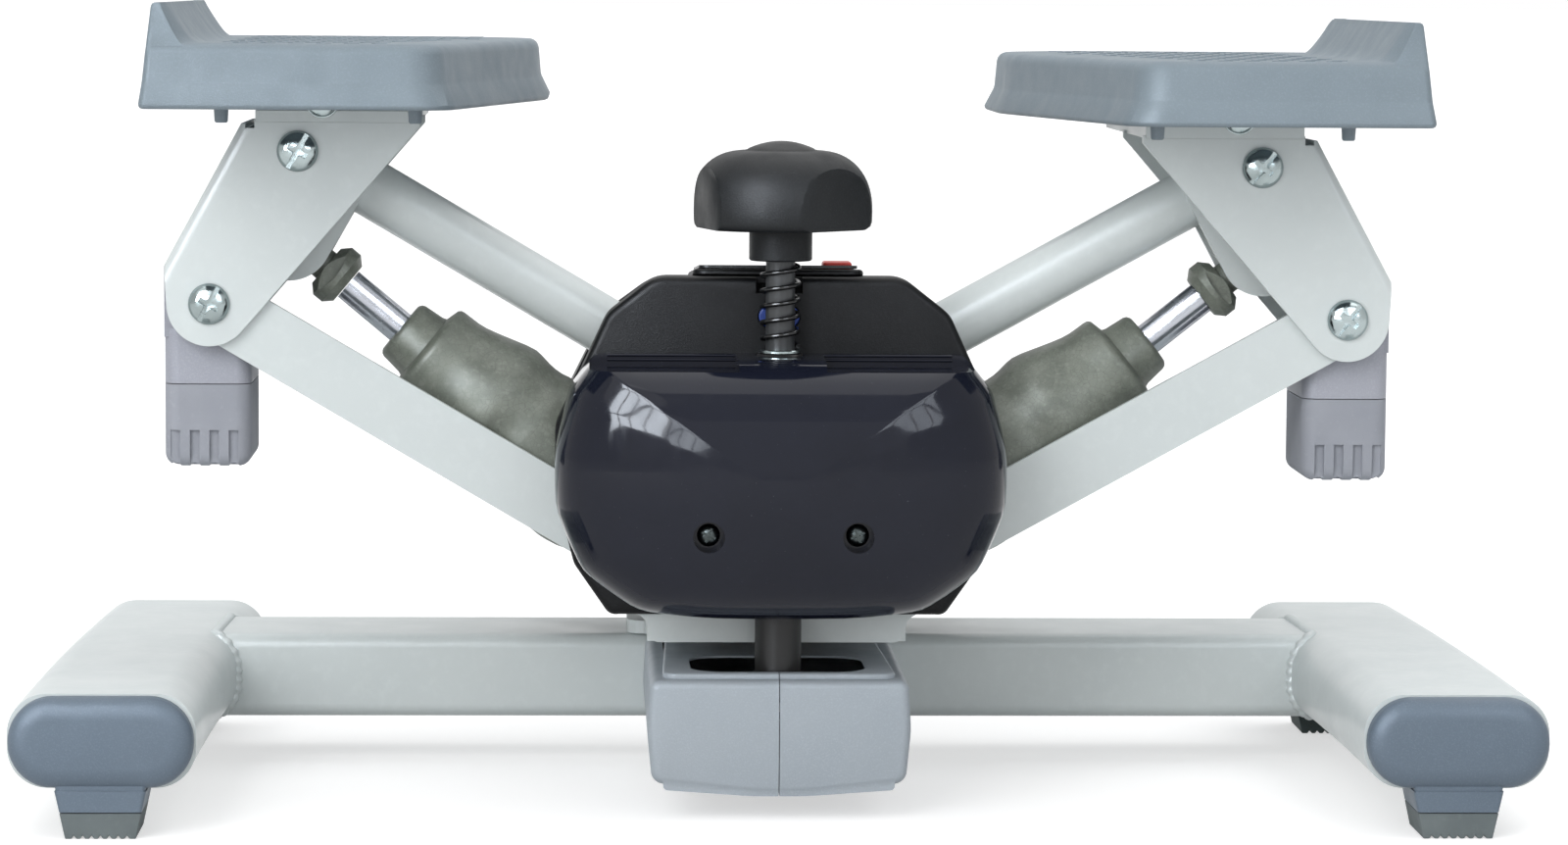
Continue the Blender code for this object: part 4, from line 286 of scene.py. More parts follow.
def sweep(points, radii, sides, closed=False):
    """A round bead or wire along points, with its radius at each."""
    work = bmesh.new()
    rows = []
    count = len(points)
    normal = None
    for index, point in enumerate(points):
        before = points[index - 1] if closed or index else point
        after = points[(index + 1) % count] if closed or index < count - 1 else point
        along = (Vector(after) - Vector(before)).normalized()
        if normal is None:
            normal = along.orthogonal().normalized()
        normal = (normal - along * normal.dot(along)).normalized()
        other = along.cross(normal)
        ring = circle((0, 0), radii[index], sides)
        rows.append([work.verts.new(Vector(point) + normal * x + other * y) for x, y in ring])
    for lower, upper in zip(rows, rows[1:]):
        bridge(work, lower, upper)
    if closed:
        last = rows[-1][0].co
        nearest = min(range(sides), key=lambda number: (rows[0][number].co - last).length)
        bridge(work, rows[-1], rows[0], nearest)
    else:
        work.faces.new(rows[0])
        work.faces.new(rows[-1])
    return from_bmesh(work)


def combine(shape, operation, tools):
    for tool in tools:
        modifier = shape.modifiers.new("boolean", "BOOLEAN")
        modifier.operation = operation
        modifier.object = tool
        modifier.solver = "EXACT"
    shape.data = evaluated_mesh(shape)
    shape.modifiers.clear()
    for tool in tools:
        bpy.data.objects.remove(tool)
    return shape


def cut(shape, *tools):
    return combine(shape, "DIFFERENCE", tools)


def join(shape, *tools):
    return combine(shape, "UNION", tools)


def gather(shape, others):
    """Put other skins into a shape's mesh, without a Boolean."""
    work = bmesh.new()
    for each in (shape, *others):
        work.from_mesh(each.data)
    work.to_mesh(shape.data)
    work.free()
    for other in others:
        bpy.data.objects.remove(other)


def bevel(shape, width, segments, picked):
    """Round the edges that pass a test."""
    work = bmesh.new()
    work.from_mesh(shape.data)
    edges = [edge for edge in work.edges if picked(edge)]
    bmesh.ops.bevel(work, geom=edges, offset=width, segments=segments, profile=0.5, affect="EDGES")
    work.to_mesh(shape.data)
    work.free()


def soften(shape, width, chosen, segments=4):
    """Round the sharp edges whose two ends both pass a test."""
    def picked(edge):
        return edge.calc_face_angle(0) > 0.5 and all(chosen(vertex.co) for vertex in edge.verts)

    bevel(shape, width, segments, picked)


def publish(shape, name, body, material, *nodes, edge=0.0, angle=38, segments=2):
    """Scale a shape to metres, give it its finish and put it on its body."""
    shape.name = name
    shape.data.name = name
    shape.data.transform(Matrix.Scale(0.001, 4))
    shape.data.materials.clear()
    shape.data.materials.append(MATERIALS[material])
    shape.data.shade_smooth()
    shape.data.set_sharp_from_angle(angle=math.radians(angle))
    if edge:
        modifier = shape.modifiers.new("edges", "BEVEL")
        modifier.width = edge * 0.001
        modifier.segments = segments
        modifier.limit_method = "ANGLE"
        modifier.angle_limit = math.radians(angle)
        modifier.harden_normals = True
    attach(shape, body)
    if nodes:
        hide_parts(*nodes)
    return shape


# Materials

def linear(colour):
    """A colour given as it looks on a screen, 0 to 255, as Blender's scene values."""
    values = []
    for level in colour:
        share = level / 255
        values.append(share / 12.92 if share < 0.04045 else ((share + 0.055) / 1.055) ** 2.4)
    return (*values, 1.0)


def lighter(colour, by):
    return [min(255, level + by) for level in colour]


def add_node(tree, kind, **values):
    """A shader node, with its inputs and its own settings given by name."""
    made = tree.nodes.new("ShaderNode" + kind)
    for key, value in values.items():
        socket = key.replace("_", " ")
        if socket in made.inputs.keys():
            made.inputs[socket].default_value = value
        else:
            setattr(made, key, value)
    return made


class Finish:
    """A material with its own node tree, coloured and bumped from noise in object space."""

    def __init__(self, name, colour, roughness, metallic=0.0):
        self.material = bpy.data.materials.new(name)
        self.material.use_nodes = True
        self.material.diffuse_color = linear(colour)
        self.tree = self.material.node_tree
        self.shader = self.tree.nodes["Principled BSDF"]
        self.roughness = roughness
        self.done(Base_Color=linear(colour), Roughness=roughness, Metallic=metallic)
        self.coordinates = self.node("TexCoord").outputs["Object"]

    def node(self, kind, **values):
        return add_node(self.tree, kind, **values)

    def link(self, output, socket):
        self.tree.links.new(output, socket)

    def stack(self, name, below, output):
        """Put an output on one of the shader's inputs, over what is there."""
        socket = self.shader.inputs[name]
        if socket.is_linked:
            self.link(socket.links[0].from_socket, below)
        self.link(output, socket)

    def noise(self, scale, detail, stretch=None):
        made = self.node("TexNoise", Scale=scale, Detail=detail, Roughness=0.55)
        place = self.coordinates
        if stretch:
            mapping = self.node("Mapping", Scale=stretch)
            self.link(place, mapping.inputs["Vector"])
            place = mapping.outputs["Vector"]
        self.link(place, made.inputs["Vector"])
        return made.outputs["Fac"]

    def cells(self, scale, feature="F1"):
        made = self.node("TexVoronoi", Scale=scale, feature=feature)
        self.link(self.coordinates, made.inputs["Vector"])
        return made.outputs["Distance"]

    def ranged(self, factor, low, high, start=0.3, end=0.7):
        made = self.node("MapRange", From_Min=start, From_Max=end, To_Min=low, To_Max=high)
        self.link(factor, made.inputs["Value"])
        return made.outputs["Result"]

    def tint(self, factor, colour, start, end, amount):
        """Mix another colour in where a factor is high."""
        mix = self.node("Mix", data_type="RGBA")
        self.link(self.ranged(factor, 0.0, amount, start, end), mix.inputs["Factor"])
        mix.inputs["A"].default_value = self.shader.inputs["Base Color"].default_value
        mix.inputs["B"].default_value = linear(colour)
        self.stack("Base Color", mix.inputs["A"], mix.outputs["Result"])

    def sheen(self, factor, spread):
        rough = self.ranged(factor, self.roughness - spread, self.roughness + spread)
        self.link(rough, self.shader.inputs["Roughness"])

    def relief(self, factor, height, strength):
        """Add a bump, its height in millimetres, over what is there."""
        bump = self.node("Bump", Strength=strength, Distance=height * 0.001)
        self.link(factor, bump.inputs["Height"])
        self.stack("Normal", bump.inputs["Normal"], bump.outputs["Normal"])

    def done(self, **shader_values):
        for key, value in shader_values.items():
            self.shader.inputs[key.replace("_", " ")].default_value = value
        return self.material


def painted(name, colour, shade, roughness=0.36, specular=0.4):
    """Powder coat: a fine orange peel, slight handling marks and a thin dull film."""
    finish = Finish(name, colour, roughness)
    finish.tint(finish.noise(14, 4), shade, 0.35, 0.75, 0.55)
    finish.tint(finish.noise(260, 2), lighter(colour, 8), 0.5, 0.8, 0.35)
    finish.sheen(finish.noise(60, 5), 0.07)
    finish.relief(finish.noise(900, 2), 0.05, 0.35)
    finish.relief(finish.noise(140, 2), 0.05, 0.2)
    return finish.done(Specular_IOR_Level=specular, Coat_Weight=0.1, Coat_Roughness=0.2)


def crackled(name, colour, shade, roughness):
    """Hammered enamel: cloudy patches, with fine darker cracks between small cells."""
    finish = Finish(name, colour, roughness)
    finish.tint(finish.noise(110, 5), shade, 0.4, 0.62, 0.8)
    finish.tint(finish.noise(420, 3), lighter(colour, 14), 0.52, 0.7, 0.6)
    finish.tint(finish.cells(520, "DISTANCE_TO_EDGE"), lighter(colour, -34), 0.05, 0.0, 0.55)
    finish.sheen(finish.noise(90, 4), 0.1)
    finish.relief(finish.noise(320, 3), 0.10, 0.5)
    return finish.done(Specular_IOR_Level=0.4)


def moulded(name, colour, shade, roughness, grain=2200, height=0.05, specular=0.4):
    """Moulded plastic with a fine spark-eroded grain and slight flow marks."""
    finish = Finish(name, colour, roughness)
    finish.tint(finish.noise(22, 5), shade, 0.35, 0.7, 0.6)
    finish.tint(finish.noise(grain * 0.8, 2), lighter(colour, 14), 0.5, 0.75, 0.5)
    finish.sheen(finish.noise(90, 4), 0.08)
    finish.relief(finish.cells(grain), height, 0.5)
    finish.relief(finish.noise(grain * 0.35, 3), height * 0.7, 0.3)
    return finish.done(Specular_IOR_Level=specular)


def metal(name, colour, shade, roughness, height, brushed=None):
    """Bare or plated metal with drawn lines, faint stains and a changing polish."""
    finish = Finish(name, colour, roughness, 1.0)
    finish.tint(finish.noise(45, 5), shade, 0.4, 0.75, 0.7)
    finish.sheen(finish.noise(160, 4, brushed), min(roughness * 0.5, 0.12))
    finish.relief(finish.noise(700, 3, brushed), height, 0.4)
    return finish.done()


def rubbery(name, colour, shade):
    """Dull rubber with a fine, uneven skin."""
    finish = Finish(name, colour, 0.78)
    finish.tint(finish.noise(35, 5), shade, 0.35, 0.7, 0.7)
    finish.tint(finish.noise(420, 3), lighter(colour, 14), 0.6, 0.8, 0.4)
    finish.sheen(finish.noise(120, 4), 0.08)
    finish.relief(finish.noise(800, 4), 0.08, 0.6)
    return finish.done(Specular_IOR_Level=0.35)


def clear_plastic(name, colour, shade, specular, coat):
    """Smoky or coloured glossy plastic, with swirl marks and dust in its polish."""
    finish = Finish(name, colour, 0.10)
    finish.tint(finish.noise(18, 4), shade, 0.4, 0.7, 0.8)
    finish.tint(finish.noise(1500, 2), (128, 130, 136), 0.74, 0.80, 0.35)
    finish.sheen(finish.noise(240, 5, (1, 1, 0.15)), 0.05)
    finish.relief(finish.noise(60, 2), 0.05, 0.15)
    return finish.done(Specular_IOR_Level=specular, Coat_Weight=coat, Coat_Roughness=0.03)


MATERIALS = {}
for label, surface, *values in (
    ("white_paint", painted, (205, 212, 212), (192, 200, 201)),
    ("cap_plastic", moulded, (93, 106, 119), (83, 96, 109), 0.50),
    ("pad_rubber", rubbery, (104, 112, 113), (86, 94, 96)),
    ("rear_rubber", rubbery, (75, 85, 85), (60, 70, 70)),
    ("nose_plastic", moulded, (157, 165, 172), (146, 155, 163), 0.46),
    ("pedal_plastic", moulded, (114, 126, 134), (111, 123, 131), 0.55, 2000, 0.045),
    ("bumper_plastic", moulded, (157, 159, 168), (146, 149, 159), 0.55),
    ("bumper_rubber", rubbery, (152, 155, 163), (138, 142, 151)),
    ("damper_paint", crackled, (117, 122, 113), (95, 100, 92), 0.46),
    ("chrome", metal, (172, 175, 182), (142, 146, 154), 0.22, 0.006),
    ("zinc", metal, (164, 175, 176), (92, 102, 100), 0.20, 0.05),
    ("plain_steel", metal, (178, 178, 180), (140, 138, 134), 0.40, 0.04, (0.05, 1, 1)),
    ("bronze", metal, (196, 160, 112), (160, 122, 80), 0.38, 0.03, (1, 1, 0.05)),
    ("black_rod", painted, (64, 66, 68), (52, 54, 56), 0.34, 0.3),
    ("sleeve_paint", painted, (36, 36, 36), (26, 26, 27), 0.36, 0.25),
    ("spring_steel", painted, (17, 18, 19), (11, 11, 12), 0.20, 0.45),
    ("screw_black", metal, (74, 80, 80), (36, 41, 41), 0.30, 0.03),
    ("knob_plastic", moulded, (27, 29, 31), (21, 23, 25), 0.50, 1800, 0.06, 0.2),
    ("knob_cap_plastic", moulded, (34, 35, 36), (28, 29, 30), 0.45, 2200, 0.04, 0.2),
    ("housing_plastic", moulded, (13, 14, 16), (9, 10, 11), 0.46, 2000, 0.05, 0.15),
    ("bezel_plastic", moulded, (30, 32, 34), (22, 24, 26), 0.35, 2400, 0.03, 0.3),
    ("window_plastic", clear_plastic, (30, 44, 38), (24, 34, 30), 0.5, 0.4),
    ("smoky_plastic", clear_plastic, (23, 26, 38), (17, 20, 31), 0.16, 0.12),
    ("red_plastic", moulded, (196, 52, 44), (174, 42, 36), 0.36, 2200, 0.04),
    ("blue_plastic", moulded, (34, 62, 140), (28, 52, 122), 0.38, 2200, 0.04),
):
    MATERIALS[label] = surface(label, *values)

for node_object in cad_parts.values():
    for material_slot in node_object.material_slots:
        known = material_slot.material.name.split(".")[0] if material_slot.material else ""
        if known in MATERIALS:
            material_slot.material = MATERIALS[known]


# Base

LEG_OUT = 215.8
LEG_BOW = 7.0
LEG_END = 120.0
LEG_HALF_WIDTH = 30.75
LEG_HALF_HEIGHT = 15.5
LEG_ROUND = 13.0
ENDS = {"front": -1, "rear": 1}


def bow(y):
    """How far out the middle of a leg is at y."""
    return LEG_OUT + LEG_BOW * (1 - ((y + LEG_END) / (2 * LEG_END)) ** 2)


def leg_inner_face(y, z):
    """How far out the leg's inner surface is at y and z."""
    deep = max(0.0, abs(z - LEG_Z) - (LEG_HALF_HEIGHT - LEG_ROUND))
    return bow(y) - LEG_HALF_WIDTH + LEG_ROUND - math.sqrt(max(0.0, LEG_ROUND ** 2 - deep * deep))


def make_leg(side):
    section = box_outline(-LEG_HALF_WIDTH, LEG_HALF_WIDTH, -LEG_HALF_HEIGHT, LEG_HALF_HEIGHT, LEG_ROUND)
    rings = []
    for step in range(25):
        y = LEG_END * (step / 12 - 1)
        rings.append([(SIDES[side] * bow(y) + x, y, LEG_Z + z) for x, z in section])
    publish(loft(rings), f"{side}_leg_tube", "base", "white_paint", f"{side}_leg")


def cross_section(half_height):
    return box_outline(CROSS_Y - 26, CROSS_Y + 26, LEG_Z - half_height, LEG_Z + half_height, 5)


def make_cross_tube():
    rings = []
    for way in (-1, 1):
        rings.append([(way * (leg_inner_face(y, z) - 0.15), y, z) for y, z in cross_section(15)])
    publish(loft(rings), "cross_member", "base", "white_paint", "cross_tube")
    seam = [Vector(place) for place in cross_section(14.4)]
    path = []
    for start, end in zip(seam, seam[1:] + seam[:1]):
        count = max(1, round((end - start).length / 0.7))
        path += [start.lerp(end, step / count) for step in range(count)]
    radii = [1.9 + 0.35 * math.sin(index * 1.35) for index in range(len(path))]
    for side, way in SIDES.items():
        points = [(way * (leg_inner_face(y, z) + 0.2), y, z) for y, z in path]
        publish(sweep(points, radii, 10, True), f"{side}_weld_bead", "base", "white_paint", angle=80)


def foot_width(z):
    return 23 + 7 * z / 16


def tapered(x, y, depth, low, high, grow=0.0):
    """A block that narrows towards the floor, with rounded corners."""
    rings = []
    for z in (low, high):
        half = foot_width(z) / 2 + grow
        outline = box_outline(x - half, x + half, y - depth / 2, y + depth / 2, 1.2)
        rings.append([(*place, z) for place in outline])
    return loft(rings)


CAP_HALF_WIDTH = 30.15
CAP_HALF_HEIGHT = 14.9
CAP_ROUND = 14.6
CAP_END = 128.0
CAP_RIM = (7.0, 4.4)
CAP_STEPS = 7


def make_cap(side, end):
    way = ENDS[end]
    x = SIDES[side] * bow(way * LEG_END)
    levels = [(0, 7.7)]
    for step in range(CAP_STEPS + 1):
        angle = math.pi / 2 * step / CAP_STEPS
        levels.append((CAP_RIM[0] * (1 - math.cos(angle)), CAP_RIM[1] * (1 - math.sin(angle))))
    rings = []
    for inset, deep in levels:
        wide, high = CAP_HALF_WIDTH - inset, CAP_HALF_HEIGHT - inset
        section = box_outline(-wide, wide, -high, high, CAP_ROUND - inset)
        rings.append([(x + across, way * (CAP_END - deep), LEG_Z + up) for across, up in section])
    neck = tapered(x, way * 112, 28, 8.8, 15.7)
    root = tapered(x, way * 123.1, 5.0, 9.2, LEG_Z, -0.4)
    cap = join(loft(rings), join(neck, root))
    publish(cap, f"{side}_{end}_end_cap", "base", "cap_plastic", f"{side}_{end}_cap", edge=0.5)


PAD_HEIGHT = 8.5
PAD_TEETH = 8


def make_pad(side, end):
    way = ENDS[end]
    x = SIDES[side] * bow(way * LEG_END)
    bottom, top = foot_width(0) / 2, foot_width(PAD_HEIGHT) / 2
    outline = [(x - bottom, 0)]
    for number in range(1, PAD_TEETH):
        middle = x - bottom + 2 * bottom / PAD_TEETH * number
        outline += [(middle - 0.8, 0), (middle, 1.2), (middle + 0.8, 0)]
    outline += [(x + bottom, 0), (x + top, PAD_HEIGHT), (x - top, PAD_HEIGHT)]
    pad = slab("Y", *sorted((way * 98.5, way * 125.5)), outline)
    rubber = "pad_rubber" if end == "front" else "rear_rubber"
    publish(pad, f"{side}_{end}_foot_pad", "base", rubber, f"{side}_{end}_foot", edge=0.35)


NOSE_FRONT = -90.5
NOSE_BACK = 28.7
NOSE_SECTION = mirrored(((43.3, 47.2, 3.5), (44.3, 30, 30), (42.6, 12.4, 4.5), (9, 8.6, 90)))
NOSE_LIP = mirrored(((39.2, 16, 0), (38.7, 10.2, 1.5), (9, 8.1, 90)))
NOSE_TOP = ((-39.3, -86, 5), (39.3, -86, 5), (36.3, NOSE_BACK, 0), (-36.3, NOSE_BACK, 0))


def make_nose():
    for side, way in SIDES.items():
        shell = slab("Y", NOSE_FRONT, NOSE_BACK, NOSE_SECTION)
        soften(shell, 2.8, lambda co: co.y < NOSE_FRONT + 0.1)
        panel = slab("Z", 45.2, 49.0, rounded(NOSE_TOP))
        soften(panel, 1.0, lambda co: co.z > 48.9)
        hollow = slab("Y", NOSE_FRONT + 2.6, 40, shrunk(NOSE_SECTION, 2.6))
        pocket = slab("Z", 40, 48.3, box_outline(-33, 33, -84, 40, 4))
        slot = slab("Z", 37, 51, box_outline(-29.6, 29.6, -82, -43, 11))
        lip = slab("Y", NOSE_FRONT + 0.4, NOSE_BACK, NOSE_LIP)
        other = box((-way * 60, -100, -10), (way * 0.15, 50, 70))
        cut(join(shell, panel), hollow, pocket, slot)
        cut(join(shell, lip), other)
        publish(shell, f"nose_shell_{side}", "base", "nose_plastic", f"nose_cover_{side}", edge=0.4)


# Twisting unit

HOUSING = ((42.0, 180.5, 12), (58.0, 168.0, 10), (75.5, 130.0, 12), (75.5, 108.0, 12), (69.0, 83.0, 8))
COVER = (
    (62.0, 155.0, 3.5), (70.5, 144.5, 12), (75.5, 125.0, 16), (75.5, 105.0, 20),
    (66.5, 84.0, 18), (48.0, 70.5, 22), (23.0, 68.0, 60),
)
RIM_Y = -49.5
SHELL_FRONT = -63.5
SHELL_LOW = 60.6
SHELL_HIGH = 180.5
LEAN = math.tan(math.radians(4))
def lowered(y):
    """How far the leaning console has sunk at y."""
    return (y - RIM_Y) * LEAN


def plug_slab(front, back, radius):
    """A flat oval, as the plug behind the spring and its hole have."""
    return slab("Y", front, back, hull([(-3.3, 167.3, radius), (3.3, 167.3, radius)]))


def make_front_shell():
    outline = mirrored((*HOUSING, (57, 65.7, 4)))
    front = slab("Y", SHELL_FRONT, RIM_Y, outline)
    soften(front, 2.5, lambda co: co.y < SHELL_FRONT + 0.1)
    tools = [
        slab("Y", SHELL_FRONT + 2.1, -40, shrunk(outline, 2.1)),
        box((-54, -61.7, 60), (54, -44, 73)),
        box((-7.8, -66, 175.3), (7.8, -58.9, 190)),
        plug_slab(-66, -59, 3.9),
    ]
    for height in (76, 142):
        tools.append(box((-12.5, -66, height - 2.5), (12.5, -60, height + 2.5)))
    publish(cut(front, *tools), "front_shell", "twist_unit", "housing_plastic", "housing_front", edge=0.4)


def rear_ring(y, taper, inset=0.0):
    """The rear shell's outline at y, drawn in by a factor towards its foot and its middle."""
    outline = mirrored((*HOUSING, (57, SHELL_LOW, 4)))
    outline = shrunk(outline, inset) if inset else outline
    share = taper * (1 - lowered(y) / (SHELL_HIGH - SHELL_LOW))
    return [(x * taper, y, SHELL_LOW + (z - SHELL_LOW) * share) for x, z in outline]


def make_plug():
    plug = plug_slab(-63.8, -61.4, 3.6)
    publish(plug, "plug_blue", "twist_unit", "blue_plastic", "blue_plug", edge=0.5, segments=3)


def make_rear_shell():
    tapers = [(66, 1.0)]
    for step in range(1, 9):
        angle = math.pi / 2 * step / 8
        tapers.append((66 + 35 * math.sin(angle), 0.8 + 0.2 * math.cos(angle)))
    rear = loft([rear_ring(8.5, 1.0)] + [rear_ring(*each) for each in tapers])
    inner = [(0, 1.0), (66, 1.0)] + [(y - 2.1, taper) for y, taper in tapers[1:]]
    hollow = loft([rear_ring(*each, 2.1) for each in inner])
    cut(rear, hollow, box((-53, 0, 50), (53, 99, 64)))
    publish(rear, "rear_shell", "twist_unit", "housing_plastic", "housing_rear", edge=0.6)


CONSOLE_Z = 180.8
BEZEL_Z = 182.8
BEZEL_TOP = 183.8


def make_console():
    lean = Matrix.Rotation(-math.atan(LEAN), 4, "X")
    hinge = Matrix.Translation((0, RIM_Y, CONSOLE_Z))
    lean = hinge @ lean @ hinge.inverted()
    plate = slab("Z", CONSOLE_Z, 182.5, box_outline(-29, 29, -56, 30, 5))
    soften(plate, 1.3, lambda co: co.z > 182.4)
    plate.data.transform(lean)
    wedge = [(-48.8, 172), (7.8, 172), (7.8, 181.2 - lowered(7.8)), (-48.8, 181.3)]
    body = join(plate, slab("X", -29, 29, wedge))
    cut(body, box((15.0, -45.5, 177.2), (26.0, -34.5, 190)))
    publish(body, "console_shell", "twist_unit", "housing_plastic", "console_body", edge=0.4)
    window = box_outline(-23.5, 8.5, -50, 4, 2)
    opening = box_outline(15.0, 26.0, -45.5, -34.5, 0.8)
    bezel = slab("Z", BEZEL_Z, BEZEL_TOP, box_outline(-27, 27, -54, 28, 3.5), window, opening)
    bezel.data.transform(lean)
    publish(bezel, "console_frame", "twist_unit", "bezel_plastic", "console_bezel", edge=0.3)
    glass = slab("Z", BEZEL_Z, BEZEL_TOP - 0.2, shrunk(window, 0.3))
    glass.data.transform(lean)
    publish(glass, "console_glass", "twist_unit", "window_plastic", "display_window", edge=0.2)
    top = BEZEL_TOP + 1.6 - lowered(-40)
    button = slab("Z", top - 6, top, box_outline(15.5, 25.5, -45, -35, 1.2))
    publish(button, "mode_button", "button", "red_plastic", "red_button", edge=1.0, segments=4)


COVER_Y = -63.8
COVER_DEPTH = 54.0
COVER_WALL = 2.4
COVER_MIDDLE_Z = 112
DOME_START = 21.0
SCREW_OUT = 24.6
SCREW_Z = 98.2
LEDGE_Z = 151.6
LEDGE_Y = -70.5


def cover_ring(forward, factor, inset=0.0):
    outline = shrunk(mirrored(COVER), inset) if inset else mirrored(COVER)
    return [
        (x * factor, COVER_Y - forward, COVER_MIDDLE_Z + (z - COVER_MIDDLE_Z) * factor)
        for x, z in smooth_loop(outline, 2)
    ]


def smooth_loop(outline, rounds):
    """Even out the bends of a closed outline."""
    points = [Vector(point) for point in outline]
    for _ in range(rounds):
        neighbours = zip(points[-1:] + points[:-1], points, points[1:] + points[:1])
        points = [(before + 2 * point + after) / 4 for before, point, after in neighbours]
    return points


def dome(forward):
    """How much of its full outline the cover keeps at a depth."""
    if forward <= DOME_START:
        return 1.0
    share = (forward - DOME_START) / (COVER_DEPTH - DOME_START)
    return max(0.06, (1 - share ** 3.1) ** (1 / 2.35))


def make_cover():
    steps = [0, 12, DOME_START]
    for step in range(1, 16):
        steps.append(DOME_START + (COVER_DEPTH - DOME_START) * math.sin(math.pi / 2 * step / 16))
    steps.append(COVER_DEPTH - 0.07)
    cover = loft([cover_ring(forward, dome(forward)) for forward in steps])
    inner = [(-10, 1.0)] + [(forward - COVER_WALL, dome(forward)) for forward in steps[1:]]
    hollow = loft([cover_ring(forward, factor, COVER_WALL) for forward, factor in inner])
    cut(cover, cut(hollow, box((-70, -130, LEDGE_Z - COVER_WALL), (70, -40, 170))))
    for way in (-1, 1):
        x = way * SCREW_OUT
        join(cover, rod((x, -113.4, SCREW_Z), (x, -64.1, SCREW_Z), 7.2))
        cut(cover, rod((x, -128, SCREW_Z), (x, -108, SCREW_Z), 5.2))
    tools = [rod((0, LOCK_Y, 50), (0, LOCK_Y, 170), 8.35)]
    ridges = []
    for way in (-1, 1):
        tools.append(box((way * 14.5, -125, LEDGE_Z), (way * 64, LEDGE_Y, 160)))
        for height in (LEDGE_Z + 1.5, LEDGE_Z + 3):
            ridges.append(rod((way * 14.9, LEDGE_Y, height), (way * 58.0, LEDGE_Y, height), 0.5, 16))
    join(cut(cover, *tools), *ridges)
    publish(cover, "smoky_shell", "twist_unit", "smoky_plastic", "smoky_cover", edge=0.5, angle=32)


def make_cover_screw(number, way):
    place = towards((way * SCREW_OUT, -108.05, SCREW_Z), (0, -1, 0))
    head = lathe([(0, 1.9), (1.8, 1.8), (3.0, 1.3), (3.7, 0.4), (3.8, 0.0), (0, 0)], place)
    cross = [box((-2.5, -0.42, 0.4), (2.5, 0.42, 3)), box((-0.42, -2.5, 0.4), (0.42, 2.5, 3))]
    for bar in cross:
        bar.data.transform(place @ Matrix.Rotation(math.radians(24 * way), 4, "Z"))
    publish(cut(head, *cross), f"cover_screw_{number}", "twist_unit", "screw_black", edge=0.15)


def make_lock():
    place = Matrix.Translation((0, LOCK_Y, 0))
    sleeve = [(7.85, 33.4), (7.45, 33), (5.3, 33), (5.3, 155.5), (7.35, 155.5), (7.85, 155.0)]
    publish(lathe(sleeve, place, 72), "sleeve_tube", "twist_unit", "sleeve_paint", "lock_sleeve")
    washer = [(7.2, 156.6), (7.2, 155.9), (5.3, 155.9), (5.3, 156.8), (7.0, 156.8)]
    publish(lathe(washer, place, 72), "washer_ring", "twist_unit", "zinc", "spring_washer")
    pin = [(0, 32), (4, 32), (4.9, 33.2), (4.9, 204.8), (0, 204.8)]
    publish(lathe(pin, place, 64), "lock_pin", "plunger", "black_rod", "lock_rod")


SPRING_LOW = 158.05
SPRING_HIGH = 185.85
SPRING_TURNS = 5.25
SPRING_RADIUS = 6.2


def make_spring():
    count = int(SPRING_TURNS * 48)
    points = []
    for index in range(count + 1):
        angle = math.tau * SPRING_TURNS * index / count
        height = SPRING_LOW + (SPRING_HIGH - SPRING_LOW) * index / count
        points.append((SPRING_RADIUS * math.cos(angle), LOCK_Y + SPRING_RADIUS * math.sin(angle), height))
    return sweep(points, [0.82] * len(points), 14)


def make_knob():
    place = Matrix.Translation((0, LOCK_Y, 0))
    profile = [(0, 223.9), (12.0, 223.9), (12.4, 223.7)]
    for step in range(1, 17):
        angle = math.pi / 2 * step / 16
        profile.append((12.4 + 18.3 * math.sin(angle) ** 0.9, 203.5 + 20.2 * math.cos(angle) ** 0.9))
    profile += [(30.6, 200), (30.1, 198.5), (28.7, 197.5)]
    profile += [(10.6, 197.5), (10.6, 187.3), (10.1, 186.8), (0, 186.8)]
    knob = lathe(profile, place, 120)
    for number in range(3):
        turn = Matrix.Rotation(math.radians(-46) + math.tau * number / 3, 4, "Z")
        flat = box((25.8, -40, 195.5), (45.8, 40, 245.5))
        flat.data.transform(place @ turn)
        cut(knob, flat)
    cut(knob, rod((0, LOCK_Y, 221.9), (0, LOCK_Y, 234), 12.0), rod((0, LOCK_Y, 180), (0, LOCK_Y, 205), 5.3))
    publish(knob, "knob_grip", "lock_knob", "knob_plastic", "knob", edge=0.7, segments=3)
    shares = (0, 0.2, 0.4, 0.6, 0.8, 0.93)
    lid = [(11.6 * share, 224.1 + 2.8 * (1 - share ** 2)) for share in shares]
    lid += [(11.6, 223.9), (11.6, 222.3), (0, 222.3)]
    publish(lathe(lid, place, 72), "knob_lid", "lock_knob", "knob_cap_plastic", "knob_cap")


# Arms and dampers

FRONT_BAR_Y = -47.0
REAR_BAR_Y = 6.0


